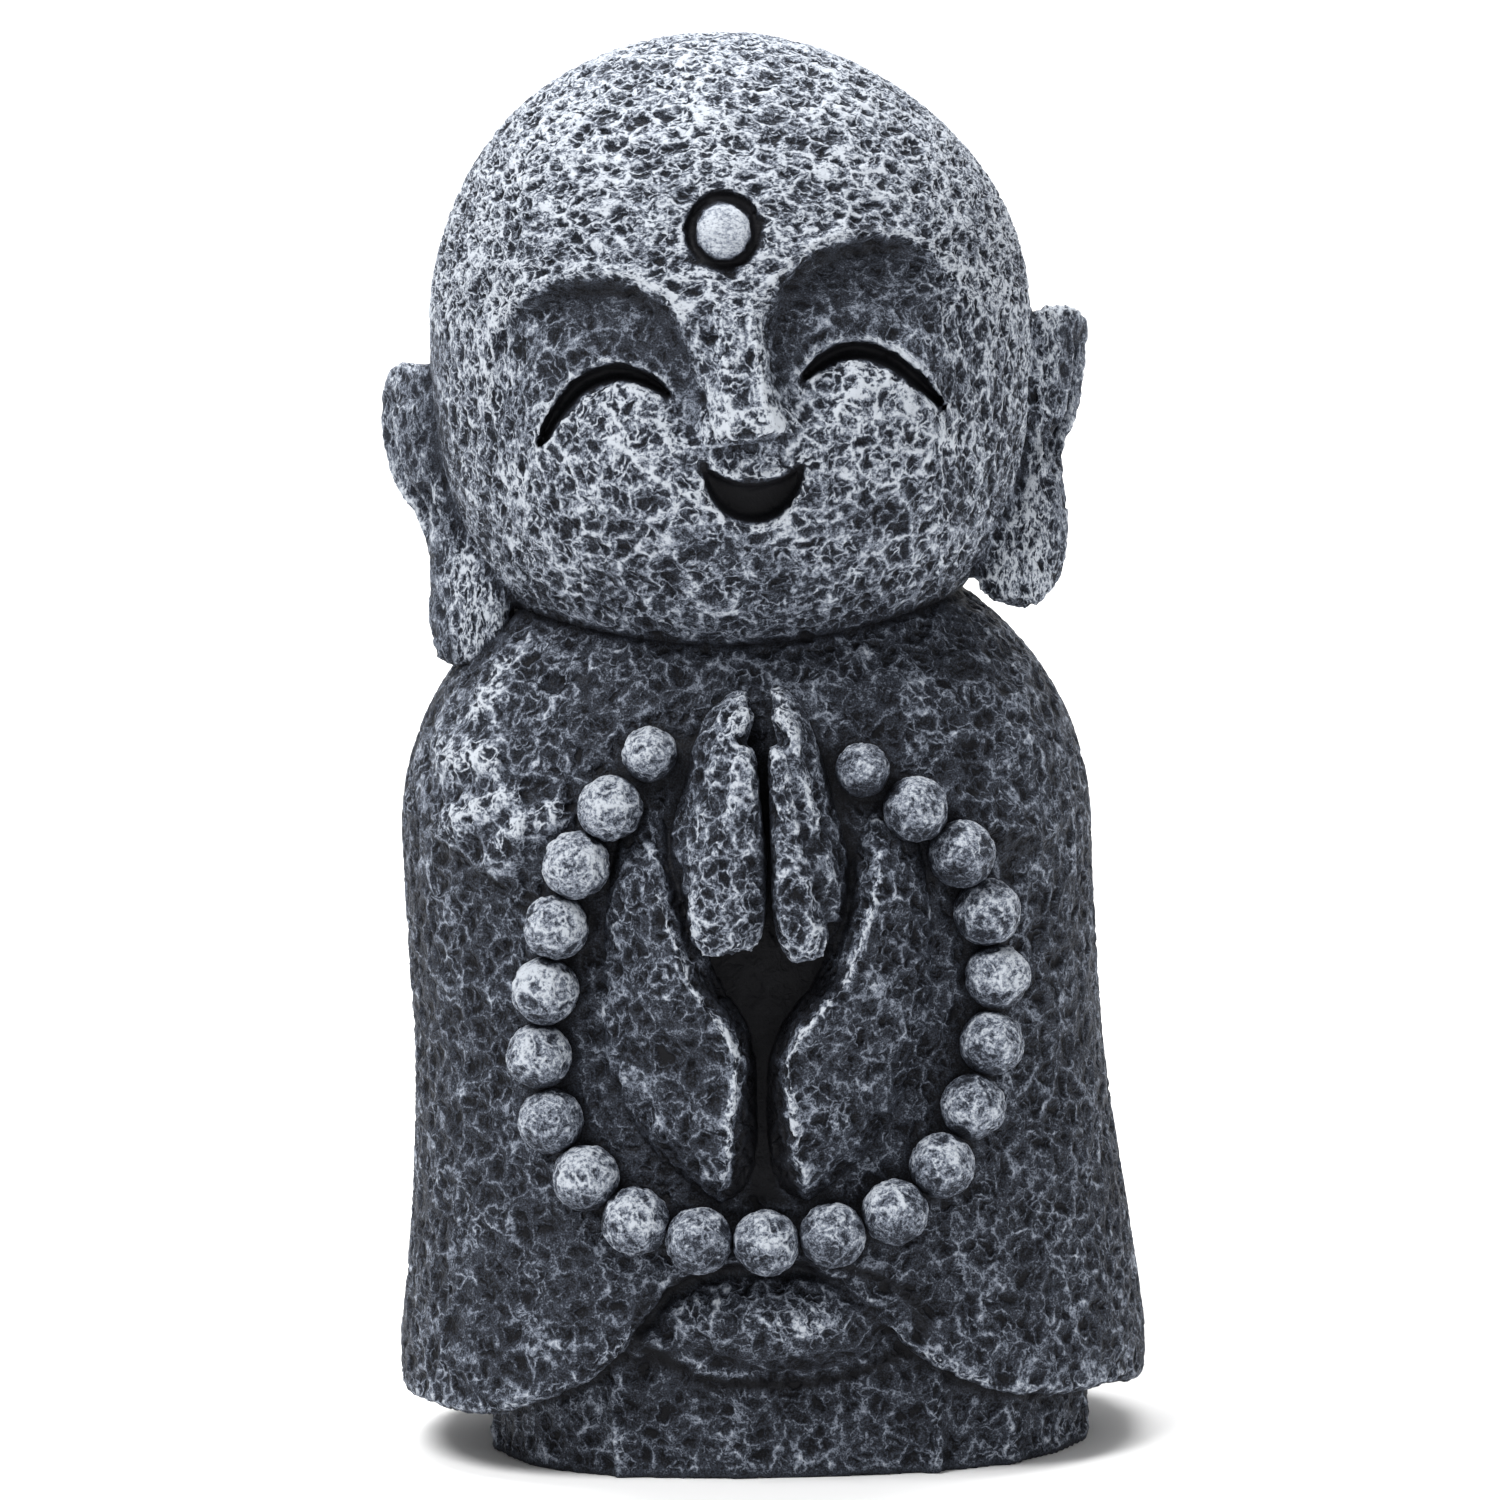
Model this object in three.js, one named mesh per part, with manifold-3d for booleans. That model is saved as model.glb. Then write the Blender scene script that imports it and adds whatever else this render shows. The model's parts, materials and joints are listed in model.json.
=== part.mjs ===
// A small jizo: a child monk in a long robe, eyes closed and smiling, with palms together inside a loop of
// prayer beads. It is one casting, so the forms below are joined into one closed solid.
// Millimetres, +Z up, +X to the viewer's right, the face towards -Y, the origin under the figure's middle.

import * as THREE from "three";
import { mergeGeometries, mergeVertices } from "three/addons/utils/BufferGeometryUtils.js";
import Module from "manifold-3d";

const wasm = await Module();
wasm.setup();

// ---------------------------------------------------------------------------------------------------------
// Driving dimensions
// ---------------------------------------------------------------------------------------------------------

const DEGREE = Math.PI / 180;

// The head is round above its widest level and fuller below it, where the cheeks are.
const HEAD = {
  x: -2.1,
  y: 0,
  widestZ: 119.5,
  halfWidth: 31.8,
  halfDepth: 30.5,
  crownHeight: 30.5,
  crownLean: -1.2,
  jawDrop: 36.9,
  jawFullness: 2.6,
};

// The face leans on the head. Its own axes are h, to the viewer's right, and v, up, from this point.
const FACE = { x: -0.7, z: 116.6, lean: 7.5 * DEGREE };

// What has two numbers in a list has the figure's own right side first, which is on the viewer's left: the
// carver did not place the two eyes alike.
// The brow is an arch over each eye: its centre, half width and half height, how sharp the corners are.
const BROW = {
  h: [15.4, 13.1],
  v: [-1.4, -1.2],
  halfWidth: 11.4,
  halfHeight: [12, 12.6],
  corner: 2.3,
  hollow: 2.2,
};
const CHEEK = { h: 15, v: -11, spread: 8, swell: 1.6 };
const MUZZLE = { v: -12, spread: 7, swell: 0.8 };
const NOSE = { top: 9, foot: -6.9, bridgeHalf: 2.3, wingHalf: 5, wingTop: -1, rise: 3.4 };

// A closed, smiling eye is one arched groove.
const EYE = {
  h: [15, 12.6],
  halfWidth: 7.3,
  peak: [0.6, -0.4],
  arch: 4.7,
  droop: [1.7, 2.7],
  groove: 1.1,
  depth: 2,
};
// The mouth is a crescent, and stays level while the face leans.
const MOUTH = { h: -0.6, halfWidth: 5, top: -10, lipDip: 1.8, bottom: -16, depth: 3, lean: -7 * DEGREE };
const URNA = { v: 14.2, radius: 3, ringRadius: 3.4, ringHalf: 0.55, standsOut: 0.9 };

// The robe: a column that flares to the hem below and rounds off to the shoulders above.
const ROBE = {
  halfWidth: 36.7,
  halfDepth: 27.5,
  corner: 2.45,
  flareBelow: 44,
  flare: 3.2,
  shoulderZ: 66,
  shoulderRise: 32,
  hemZ: 5.6,
  top: 97,
  y: 1.5,
};
// The front hem: how high it is at each place across, from one side round over the parting to the other.
const HEM = [
  [-38, 6.2], [-32.5, 6], [-28.8, 6.3], [-23.1, 8.6], [-19.4, 10.4], [-15.7, 13.6], [-13.2, 17],
  [-10.7, 20.3], [-6.5, 22.6], [3.5, 22.6], [7.5, 20.6], [9.4, 18.6], [12.2, 15.8], [14.2, 13.6],
  [17, 11.6], [20, 9.8], [24, 8.2], [28, 7.2], [36, 7],
];
// Folds at the shoulders: the line of each crest, as [across, level], how far the fold reaches over and under
// the crest, and how high it is.
const FOLDS = [
  { crest: [[-34.6, 67.2], [-32, 70], [-29.6, 71.4], [-24.2, 72.3]], over: 1.4, under: 4.2, high: 1.6 },
  { crest: [[-29.5, 63.8], [-28.3, 65.7], [-24, 70.1], [-20, 71.8]], over: 1.4, under: 4, high: 1.6 },
  { crest: [[-34.5, 75.2], [-30.5, 75.6], [-26.6, 75.4]], over: 2.4, under: 2.2, high: 1.2 },
  { crest: [[18.5, 72.2], [24, 70.4], [29.5, 67.8]], over: 1.4, under: 2.2, high: 0.9 },
  { crest: [[16, 76.5], [21, 78], [27, 77], [31, 74]], over: 1.4, under: 2.4, high: 0.8 },
];
// How far up the robe each ring of it lies, as shares; the rings are closest where the folds are.
const ROBE_RINGS = [0.15, 0.29, 0.42, 0.53, 0.61, 0.645, 0.675, 0.7, 0.725, 0.755, 0.79, 0.85, 0.93];

// The skirt under the robe, with soft ridges: how far round from the front each is, its half width, its
// height.
const SKIRT = { x: 1.9, y: 0.7, halfWidth: 31.9, halfDepth: 25, corner: 2.6, top: 34 };
const RIDGES = [[-38, 3, 0.7], [-12, 4, 0.4], [32, 3, 1.1], [49, 3.5, 0.7], [75, 4, 0.5], [-78, 4, 0.5]];
// The end of the inner robe, which hangs in the parting, and the two layers that show beside and under it.
const FLAPS = [
  { x: 0.9, y: -20.4, z: 16.6, halfWidth: 13.8, halfDepth: 6.9, halfHeight: 6.2, around: 16, along: 8 },
  { x: -13.4, y: -19.4, z: 14.6, halfWidth: 5, halfDepth: 5.4, halfHeight: 2.6, around: 8, along: 6 },
  { x: -5.2, y: -20.2, z: 12.2, halfWidth: 6, halfDepth: 5.6, halfHeight: 4, around: 10, along: 6 },
];

// The string of beads hangs from the hands. Its line, as [across, level], goes from one hand to the other.
const STRING = [
  [-11.3, 76.7], [-18.9, 65.9], [-22.5, 53.3], [-22.9, 39.5], [-14.1, 28.3], [-0.1, 25.8],
  [13.5, 28.8], [21.5, 39], [24.3, 52.8], [20.5, 65.8], [10.6, 74.6],
];
const BEADS = { count: 21, radius: 3.55, endRadius: 2.9, standsOut: 0.45 };

// The sleeves hang from the wrists inside the loop. At each level: how far the inner and the outer edge lie
// from the seam between the hands.
const SLEEVE = { middle: 51.7, half: 22.6, y: -20, thick: 12.8, bluntness: 4 };
const SLEEVE_EDGES = [
  [29.5, 3, 4.8], [34, 1, 11.3], [38, 0.9, 14.4], [45, 1.2, 17.5], [48.5, 3.1, 18], [52, 6.2, 18.1],
  [57, 8.6, 17.8], [64, 10.7, 16.8], [70, 11.2, 15.9], [74, 10.6, 14.6],
];
// The seam leans a little: where it is at a low level and at a high one.
const SEAM = { low: [40, -0.5], high: [58, 0.6] };

// The fingers of each hand, seen one behind another, the foremost first: points from the tip down to the heel
// of the palm, as [distance from the seam, level, half width], and how far each lies behind the foremost.
const FINGER_SETS = [
  [
    { line: [[2.4, 77.6, 1.7], [2.7, 71.6, 2.1], [3.8, 65, 3.5], [4.1, 56.6, 4]], behind: 0 },
    { line: [[2, 81.3, 1.7], [5, 73.6, 1.9], [6.6, 68, 2.1], [7.4, 61, 2.2]], behind: 2.2 },
    { line: [[1.9, 82.4, 1.6], [6.3, 73, 2.2], [7.9, 67, 2.4], [7.4, 57.5, 2.6]], behind: 4.4 },
  ],
  [
    { line: [[1.3, 77.6, 1.2], [1.8, 71.6, 1.5], [2.5, 65, 2.1], [4.2, 55.8, 2.9]], behind: 0 },
    { line: [[1.5, 81.5, 1.4], [3.9, 72, 1.7], [5.3, 66, 2], [6.2, 59, 2.4]], behind: 2.1 },
    { line: [[1.3, 82.9, 1.3], [4.9, 72, 2], [6.2, 65, 2.3], [6.3, 56.5, 2.7]], behind: 4.2 },
  ],
];
const FINGER = { front: 33.6, thick: 4.2, tipBack: 2, heelBack: 0.8, bluntness: 4 };

// Each ear is a leaf drawn from its upper rim down to its lobe: middle points seen from the front, the half
// width across the leaf at each, and how far the leaf faces forwards.
const EARS = [
  { side: -1, path: [[-35.3, 115.2], [-35.7, 109.5], [-34.2, 103], [-31.6, 96], [-30, 88.4], [-31, 84]] },
  { side: 1, path: [[33.1, 120], [31.9, 114.5], [30.4, 106], [29.8, 98.5], [27.4, 92.2], [27, 89.4]] },
];
const EAR = { upperHalf: 6.2, waistHalf: 3, lobeHalf: 5.4, thickness: 2.4, y: 3.2, lobeY: -4.5, hollow: 5.6 };
const EAR_TURN = { upper: 58, lobe: 30 };

// ---------------------------------------------------------------------------------------------------------
// Helpers
// ---------------------------------------------------------------------------------------------------------

const clamp01 = (t) => Math.min(1, Math.max(0, t));
const smoothstep = (from, to, t) => {
  const s = clamp01((t - from) / (to - from));
  return s * s * (3 - 2 * s);
};
const bell = (t) => Math.exp(-t * t);
const mix = (a, b, t) => a + (b - a) * t;

// The value at `at` in rows of [place, value, ...], in straight lines between them; `column` picks the value.
function between(rows, at, column = 1) {
  const next = rows.findIndex((row) => row[0] >= at);
  if (next === 0) return rows[0][column];
  if (next < 0) return rows[rows.length - 1][column];
  const [before, after] = [rows[next - 1], rows[next]];
  return mix(before[column], after[column], (at - before[0]) / (after[0] - before[0]));
}

// The radius, as a share of 1, at which a superellipse of this corner sharpness lies in the direction (a, b).
const squareness = (a, b, corner) => 1 / Math.pow(Math.abs(a) ** corner + Math.abs(b) ** corner, 1 / corner);

// A geometry reduced to shared positions, with each one moved by place(Vector3).
function formed(geometry, place) {
  geometry.deleteAttribute("normal");
  geometry.deleteAttribute("uv");
  const merged = mergeVertices(geometry, 1e-5);
  const at = merged.getAttribute("position");
  const point = new THREE.Vector3();
  for (let i = 0; i < at.count; i++) {
    point.fromBufferAttribute(at, i);
    place(point);
    at.setXYZ(i, point.x, point.y, point.z);
  }
  return merged;
}

function solid(geometry) {
  const mesh = new wasm.Mesh({
    numProp: 3,
    vertProperties: new Float32Array(geometry.getAttribute("position").array),
    triVerts: new Uint32Array(geometry.index.array),
  });
  const made = new wasm.Manifold(mesh);
  if (made.volume() < 0) throw new Error("a form is inside out");
  return made;
}

// A ball whose poles lie on the Z axis.
const ball = (around, along, place) =>
  solid(formed(new THREE.SphereGeometry(1, around, along).rotateX(Math.PI / 2), place));

// A ball made of two mirrored halves, so that both sides of it have the same facets. Its first pole faces -Y.
function facingBall(around, along, place) {
  const half = new THREE.SphereGeometry(1, around / 2, along, -Math.PI / 2, Math.PI).rotateX(Math.PI);
  const other = half.clone().scale(-1, 1, 1);
  const corners = other.index.array;
  for (let i = 0; i < corners.length; i += 3) [corners[i], corners[i + 1]] = [corners[i + 1], corners[i]];
  return solid(formed(mergeGeometries([half, other]), place));
}

const forwards = () => new THREE.Vector3(0, -1, 0);

const ellipsoid = (centre, radii, around, along, turn = new THREE.Euler()) =>
  ball(around, along, (p) => p.multiply(radii).applyEuler(turn).add(centre));

// A ball drawn out along a curve. facing(t) is the way its front faces, radii(t) gives its half width and
// half thickness, and a higher bluntness gives squarer ends.
function drawnOut(curve, facing, radii, around, along, bluntness = 2) {
  const tangent = new THREE.Vector3();
  const across = new THREE.Vector3();
  const deep = new THREE.Vector3();
  return ball(around, along, (p) => {
    const t = Math.acos(Math.max(-1, Math.min(1, p.z))) / Math.PI;
    const ring = Math.hypot(p.x, p.y) || 1;
    const full = Math.pow(Math.max(0, 1 - Math.abs(2 * t - 1) ** bluntness), 1 / bluntness);
    const [wide, thick] = radii(t);
    curve.getTangentAt(t, tangent);
    across.crossVectors(tangent, facing(t)).normalize();
    deep.crossVectors(across, tangent).normalize();
    const [a, b] = ring > 1e-6 && t > 1e-6 && t < 1 - 1e-6 ? [p.x / ring, p.y / ring] : [0, 0];
    p.copy(curve.getPointAt(t))
      .addScaledVector(across, wide * full * a)
      .addScaledVector(deep, thick * full * b);
  });
}

// ---------------------------------------------------------------------------------------------------------
// Head and face
// ---------------------------------------------------------------------------------------------------------

// A point of the face plane, from the face's own axes to the figure's.
function facePoint(h, v) {
  const c = Math.cos(FACE.lean);
  const s = Math.sin(FACE.lean);
  return [FACE.x + h * c - v * s, FACE.z + h * s + v * c];
}

function faceAxes(x, z) {
  const c = Math.cos(FACE.lean);
  const s = Math.sin(FACE.lean);
  return [(x - FACE.x) * c + (z - FACE.z) * s, (z - FACE.z) * c - (x - FACE.x) * s];
}

// The first number of a pair on the face's left half, as seen, and the second on its right half.
const sided = (h, pair) => mix(pair[0], pair[1], smoothstep(-3, 3, h));

// How far the face stands out from the plain head at (h, v), in millimetres.
function faceRelief(h, v) {
  const side = Math.abs(h);
  const over = (v - sided(h, BROW.v)) / sided(h, BROW.halfHeight);
  const arch = 1 / squareness((side - sided(h, BROW.h)) / BROW.halfWidth, over, BROW.corner);
  const hollow = -BROW.hollow * (1 - smoothstep(0.68, 1.06, arch)) * smoothstep(-6, 2, v);
  const cheek = CHEEK.swell * bell((side - CHEEK.h) / CHEEK.spread) * bell((v - CHEEK.v) / CHEEK.spread);
  const muzzle = MUZZLE.swell * bell(h / MUZZLE.spread) * bell((v - MUZZLE.v) / MUZZLE.spread);
  const half = mix(NOSE.wingHalf, NOSE.bridgeHalf, smoothstep(NOSE.foot + 0.6, NOSE.wingTop, v));
  const slope = mix(1, 0.15, smoothstep(NOSE.foot + 2, NOSE.top, v));
  const rise = NOSE.rise * slope * smoothstep(NOSE.foot - 1.8, NOSE.foot + 0.6, v);
  const nose = rise * (1 - smoothstep(half * 0.45, half * 1.25, side));
  return hollow + cheek + muzzle + nose;
}

// The distance from the head's centre to its plain surface, in the direction (dx, dy, dz).
function headReach(dx, dy, dz) {
  const level = Math.hypot(dx / HEAD.halfWidth, dy / HEAD.halfDepth);
  const [height, fullness] = dz > 0 ? [HEAD.crownHeight, 2] : [HEAD.jawDrop, HEAD.jawFullness];
  return squareness(level, dz / height, fullness);
}

// The crown leans a little to one side above the widest level.
const crownShift = (rise) => HEAD.crownLean * smoothstep(8, HEAD.crownHeight, rise);

// The point of the face's surface straight behind (x, z), sunk by `depth`.
function onFace(x, z, depth = 0) {
  let y = -HEAD.halfDepth;
  for (let step = 0; step < 8; step++) {
    const d = new THREE.Vector3(x - HEAD.x - crownShift(z - HEAD.widestZ), y - HEAD.y, z - HEAD.widestZ);
    const out = d.length();
    d.normalize();
    const reach = headReach(d.x, d.y, d.z) + faceRelief(...faceAxes(x, z));
    y -= (reach - out) * 0.9;
  }
  return new THREE.Vector3(x, y + depth, z);
}

function head() {
  // The ball's pole is aimed at the middle of the face and turned with it.
  const toFace = new THREE.Vector3(FACE.x - HEAD.x, -HEAD.halfDepth, FACE.z - HEAD.widestZ).normalize();
  const aim = new THREE.Quaternion().setFromUnitVectors(new THREE.Vector3(0, -1, 0), toFace);
  aim.multiply(new THREE.Quaternion().setFromAxisAngle(new THREE.Vector3(0, 1, 0), -FACE.lean));
  return facingBall(40, 24, (p) => {
    // The rings are drawn towards the face, where the relief is.
    const polar = Math.acos(Math.max(-1, Math.min(1, -p.y)));
    const ring = Math.hypot(p.x, p.z) || 1;
    const drawn = Math.PI * Math.pow(polar / Math.PI, 1.3);
    const around = Math.sin(drawn) / ring;
    const d = new THREE.Vector3(p.x * around, -Math.cos(drawn), p.z * around).applyQuaternion(aim);
    const reach = headReach(d.x, d.y, d.z);
    const [h, v] = faceAxes(HEAD.x + d.x * reach, HEAD.widestZ + d.z * reach);
    const front = smoothstep(0.05, 0.45, -d.y);
    p.copy(d).multiplyScalar(reach + faceRelief(h, v) * front);
    p.x += crownShift(p.z);
    p.add(new THREE.Vector3(HEAD.x, HEAD.y, HEAD.widestZ));
  });
}

function eyeGroove(side) {
  const points = [];
  const [h, peak, droop] = [EYE.h, EYE.peak, EYE.droop].map((pair) => sided(side * EYE.halfWidth, pair));
  for (let i = 0; i <= 10; i++) {
    const t = mix(-1, 1, i / 10);
    const v = peak - EYE.arch * t * t - droop * t;
    points.push(onFace(...facePoint(side * (h + EYE.halfWidth * t), v)));
  }
  const curve = new THREE.CatmullRomCurve3(points);
  return drawnOut(curve, forwards, () => [EYE.groove, EYE.depth], 6, 12);
}

function mouthCut() {
  const outline = new THREE.Shape();
  outline.moveTo(-MOUTH.halfWidth, MOUTH.top);
  outline.quadraticCurveTo(0, MOUTH.top - 2 * MOUTH.lipDip, MOUTH.halfWidth, MOUTH.top);
  const sag = MOUTH.top - MOUTH.bottom;
  outline.bezierCurveTo(
    MOUTH.halfWidth, MOUTH.top - sag * 1.3,
    -MOUTH.halfWidth, MOUTH.top - sag * 1.3,
    -MOUTH.halfWidth, MOUTH.top,
  );
  const geometry = new THREE.ExtrudeGeometry(outline, { depth: 12, bevelEnabled: false, curveSegments: 7 });
  const surface = onFace(...facePoint(0, (MOUTH.top + MOUTH.bottom) / 2)).y;
  // The shape's x and y become the face's h and v, and its depth runs out of the face.
  return solid(
    formed(geometry, (p) => {
      const v = p.y - MOUTH.top;
      const turned = [
        MOUTH.h + p.x * Math.cos(MOUTH.lean) - v * Math.sin(MOUTH.lean),
        MOUTH.top + p.x * Math.sin(MOUTH.lean) + v * Math.cos(MOUTH.lean),
      ];
      const [x, z] = facePoint(...turned);
      p.set(x, surface + MOUTH.depth - p.z, z);
    }),
  );
}

function urnaRing() {
  const centre = onFace(...facePoint(0, URNA.v));
  const geometry = new THREE.TorusGeometry(URNA.ringRadius, URNA.ringHalf, 6, 20).rotateX(Math.PI / 2);
  return solid(
    formed(geometry, (p) => {
      const under = onFace(centre.x + p.x, centre.z + p.z);
      p.set(centre.x + p.x, under.y + p.y * 1.6, centre.z + p.z);
    }),
  );
}

function urna() {
  const centre = onFace(...facePoint(0, URNA.v), URNA.radius - URNA.standsOut - 1);
  return ellipsoid(centre, new THREE.Vector3(URNA.radius, URNA.radius + 0.4, URNA.radius), 14, 8);
}

// ---------------------------------------------------------------------------------------------------------
// Ears
// ---------------------------------------------------------------------------------------------------------

// The lobe lies further forward than the upper ear.
function earCurve(ear) {
  const last = ear.path.length - 1;
  return new THREE.CatmullRomCurve3(
    ear.path.map(([x, z], i) => new THREE.Vector3(x, mix(EAR.y, EAR.lobeY, smoothstep(0.2, 1, i / last)), z)),
  );
}

const earHalf = (t) =>
  mix(mix(EAR.upperHalf, EAR.waistHalf, smoothstep(0.25, 0.5, t)), EAR.lobeHalf, smoothstep(0.55, 0.85, t));

// The upper ear faces outwards, and the lobe forwards.
function earFacing(ear, t) {
  const turn = mix(EAR_TURN.upper, EAR_TURN.lobe, smoothstep(0.2, 0.8, t)) * DEGREE;
  return new THREE.Vector3(ear.side * Math.sin(turn), -Math.cos(turn), 0);
}

const earBody = (ear) =>
  drawnOut(earCurve(ear), (t) => earFacing(ear, t), (t) => [earHalf(t), EAR.thickness], 10, 11, 3.4);

// The hollow of the ear, inside its upper rim.
function earHollow(ear) {
  const facing = earFacing(ear, 0.27);
  const centre = earCurve(ear).getPointAt(0.27).addScaledVector(facing, EAR.thickness + 0.2);
  const turn = new THREE.Euler(0, -ear.side * 0.1, Math.atan2(facing.x, -facing.y), "ZYX");
  return ellipsoid(centre, new THREE.Vector3(3.4, 2.2, EAR.hollow), 10, 6, turn);
}

// ---------------------------------------------------------------------------------------------------------
// Robe, skirt and flap
// ---------------------------------------------------------------------------------------------------------

const robeMiddle = (z) => mix(0.2, -1.5, smoothstep(15, 70, z));
const robeSize = (z) => {
  const flare = ROBE.flare * Math.pow(clamp01((ROBE.flareBelow - z) / (ROBE.flareBelow - 12)), 1.35);
  const shoulder = Math.sqrt(Math.max(0.02, 1 - (Math.max(0, z - ROBE.shoulderZ) / ROBE.shoulderRise) ** 2));
  return [(ROBE.halfWidth + flare) * shoulder, (ROBE.halfDepth + flare * 0.7) * shoulder];
};

// How high the hem is over the point (x, y): it rises at the front, where the robe parts.
const hemHeight = (x, y) => mix(ROBE.hemZ, between(HEM, x), smoothstep(4, 14, -y));

// A fold along its crest: steep on the side over it, and falling slowly under it.
function foldHeight(x, z, fold) {
  const curve = new THREE.SplineCurve(fold.crest.map(([a, b]) => new THREE.Vector2(a, b)));
  const steps = 24;
  let best = { apart: Infinity, over: 1, share: 0 };
  for (let i = 0; i <= steps; i++) {
    const share = i / steps;
    const at = curve.getPoint(share);
    const apart = Math.hypot(x - at.x, z - at.y);
    if (apart >= best.apart) continue;
    const ahead = curve.getTangent(share);
    best = { apart, over: (z - at.y) * ahead.x - (x - at.x) * ahead.y, share };
  }
  const taper = Math.pow(4 * best.share * (1 - best.share), 0.4);
  return fold.high * taper * bell(best.apart / (best.over > 0 ? fold.over : fold.under));
}

// Folds of the robe, in millimetres out from the plain column: at the shoulders, and hanging ones behind.
function robeFolds(x, y, z) {
  const shoulder = FOLDS.reduce((sum, fold) => sum + foldHeight(x, z, fold), 0);
  const across = x - robeMiddle(z);
  const hanging = 0.7 * Math.cos(across * 0.42 + 0.6 * Math.sin(z * 0.07)) * smoothstep(58, 20, z);
  const behind = smoothstep(6, 16, y) * smoothstep(30, 22, Math.abs(across));
  return shoulder * smoothstep(2, 12, -y) + hanging * behind;
}

function robe() {
  const profile = [new THREE.Vector2(0, 0)];
  profile.push(new THREE.Vector2(0.78, 0));
  const rounding = 3;
  for (let i = 0; i < rounding; i++) {
    const turn = (i / rounding) * 90 * DEGREE;
    profile.push(new THREE.Vector2(1 - 0.08 * (1 - Math.sin(turn)), 0.06 * (1 - Math.cos(turn))));
  }
  for (const share of ROBE_RINGS) profile.push(new THREE.Vector2(1, share));
  profile.push(new THREE.Vector2(1, 1), new THREE.Vector2(0, 1));
  const geometry = new THREE.LatheGeometry(profile, 42).rotateX(Math.PI / 2);
  return solid(
    formed(geometry, (p) => {
      const level = p.z;
      const ring = Math.hypot(p.x, p.y);
      const [ax, ay] = ring > 1e-9 ? [p.x / ring, p.y / ring] : [0, 0];
      // The hem depends on where the rim is, and the rim on the hem, so the place is found in two steps.
      let z = ROBE.hemZ;
      let x = 0;
      let y = 0;
      for (let step = 0; step < 4; step++) {
        const [w, d] = robeSize(Math.max(z, 10));
        const reach = ring > 1e-9 ? ring * squareness(ax, ay, ROBE.corner) : 0;
        x = robeMiddle(z) + ax * reach * w;
        y = ROBE.y + ay * reach * d;
        z = mix(hemHeight(x / (ring || 1), y / (ring || 1)), ROBE.top, level);
      }
      const out = robeFolds(x, y, z) * (level > 0.06 ? 1 : 0);
      p.set(x + ax * out, y + ay * out, z);
    }),
  );
}

function skirt() {
  const profile = [[0, 0], [0.97, 0], [1, 0.04], [0.99, 0.6], [0, 0.6]];
  const geometry = new THREE.LatheGeometry(profile.map(([r, t]) => new THREE.Vector2(r, t)), 50);
  return solid(
    formed(geometry.rotateX(Math.PI / 2), (p) => {
      const ring = Math.hypot(p.x, p.y);
      const [ax, ay] = ring > 1e-9 ? [p.x / ring, p.y / ring] : [0, 0];
      const reach = ring > 1e-9 ? ring * squareness(ax, ay, SKIRT.corner) : 0;
      const [x, y] = [ax * reach * SKIRT.halfWidth, ay * reach * SKIRT.halfDepth];
      const round = Math.atan2(x, -y) / DEGREE;
      const ridges = RIDGES.reduce((sum, [at, wide, high]) => sum + high * bell((round - at) / wide), 0);
      const out = ring > 0.9 ? ridges : 0;
      p.set(SKIRT.x + x + ax * out, SKIRT.y + y + ay * out, p.z * SKIRT.top);
    }),
  );
}

const flap = (form) =>
  ellipsoid(
    new THREE.Vector3(form.x, form.y, form.z),
    new THREE.Vector3(form.halfWidth, form.halfDepth, form.halfHeight),
    form.around, form.along,
  );

// ---------------------------------------------------------------------------------------------------------
// Sleeves, hands and beads
// ---------------------------------------------------------------------------------------------------------

const seam = (z) => mix(SEAM.low[1], SEAM.high[1], smoothstep(SEAM.low[0], SEAM.high[0], z));

function sleeve(side) {
  return ball(12, 12, (p) => {
    const ring = Math.hypot(p.x, p.y);
    const [a, b] = ring > 1e-9 ? [p.x / ring, p.y / ring] : [0, 0];
    const level = 1 - (2 * Math.acos(Math.max(-1, Math.min(1, p.z)))) / Math.PI;
    const full = Math.pow(Math.max(0, 1 - Math.abs(level) ** SLEEVE.bluntness), 1 / 2);
    const z = SLEEVE.middle + level * SLEEVE.half;
    const [inner, outer] = [between(SLEEVE_EDGES, z, 1), between(SLEEVE_EDGES, z, 2)];
    const x = seam(z) + side * mix(inner, outer, 0.5) + a * (outer - inner) * 0.5 * (ring > 1e-6 ? 1 : 0);
    p.set(x, SLEEVE.y + b * SLEEVE.thick * full, z);
  });
}

// The back of the hand, which goes from inside the sleeve up behind the fingers.
function wrist(side) {
  const line = [[7.6, -22, 57], [6.4, -24.5, 64], [4.6, -26, 71], [2.9, -27, 79]];
  const curve = new THREE.CatmullRomCurve3(
    line.map(([off, y, z]) => new THREE.Vector3(seam(z) + side * off, y, z)),
  );
  return drawnOut(curve, forwards, (t) => [mix(5.4, 2.6, t), mix(6, 4.5, t)], 8, 6);
}

// One finger of the praying hands, with the strip of the palm under it.
function finger(side, { line, behind }) {
  const last = line.length - 1;
  const middle = behind + FINGER.thick - FINGER.front;
  const depths = [FINGER.tipBack, FINGER.tipBack / 3, 0, FINGER.heelBack];
  const points = line.map(([off, z], i) => new THREE.Vector3(seam(z) + side * off, middle + depths[i], z));
  const halves = line.map(([, , half], i) => [i / last, half]);
  const curve = new THREE.CatmullRomCurve3(points);
  const radii = (t) => [between(halves, t), FINGER.thick];
  return drawnOut(curve, forwards, radii, 8, 8, FINGER.bluntness);
}

// The middles of the beads, a bead apart along the string, from one hand down and up to the other.
function beadPlaces() {
  const curve = new THREE.CatmullRomCurve3(STRING.map(([x, z]) => new THREE.Vector3(x, 0, z)));
  return Array.from({ length: BEADS.count }, (_, i) => curve.getPointAt(i / (BEADS.count - 1)));
}

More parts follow.
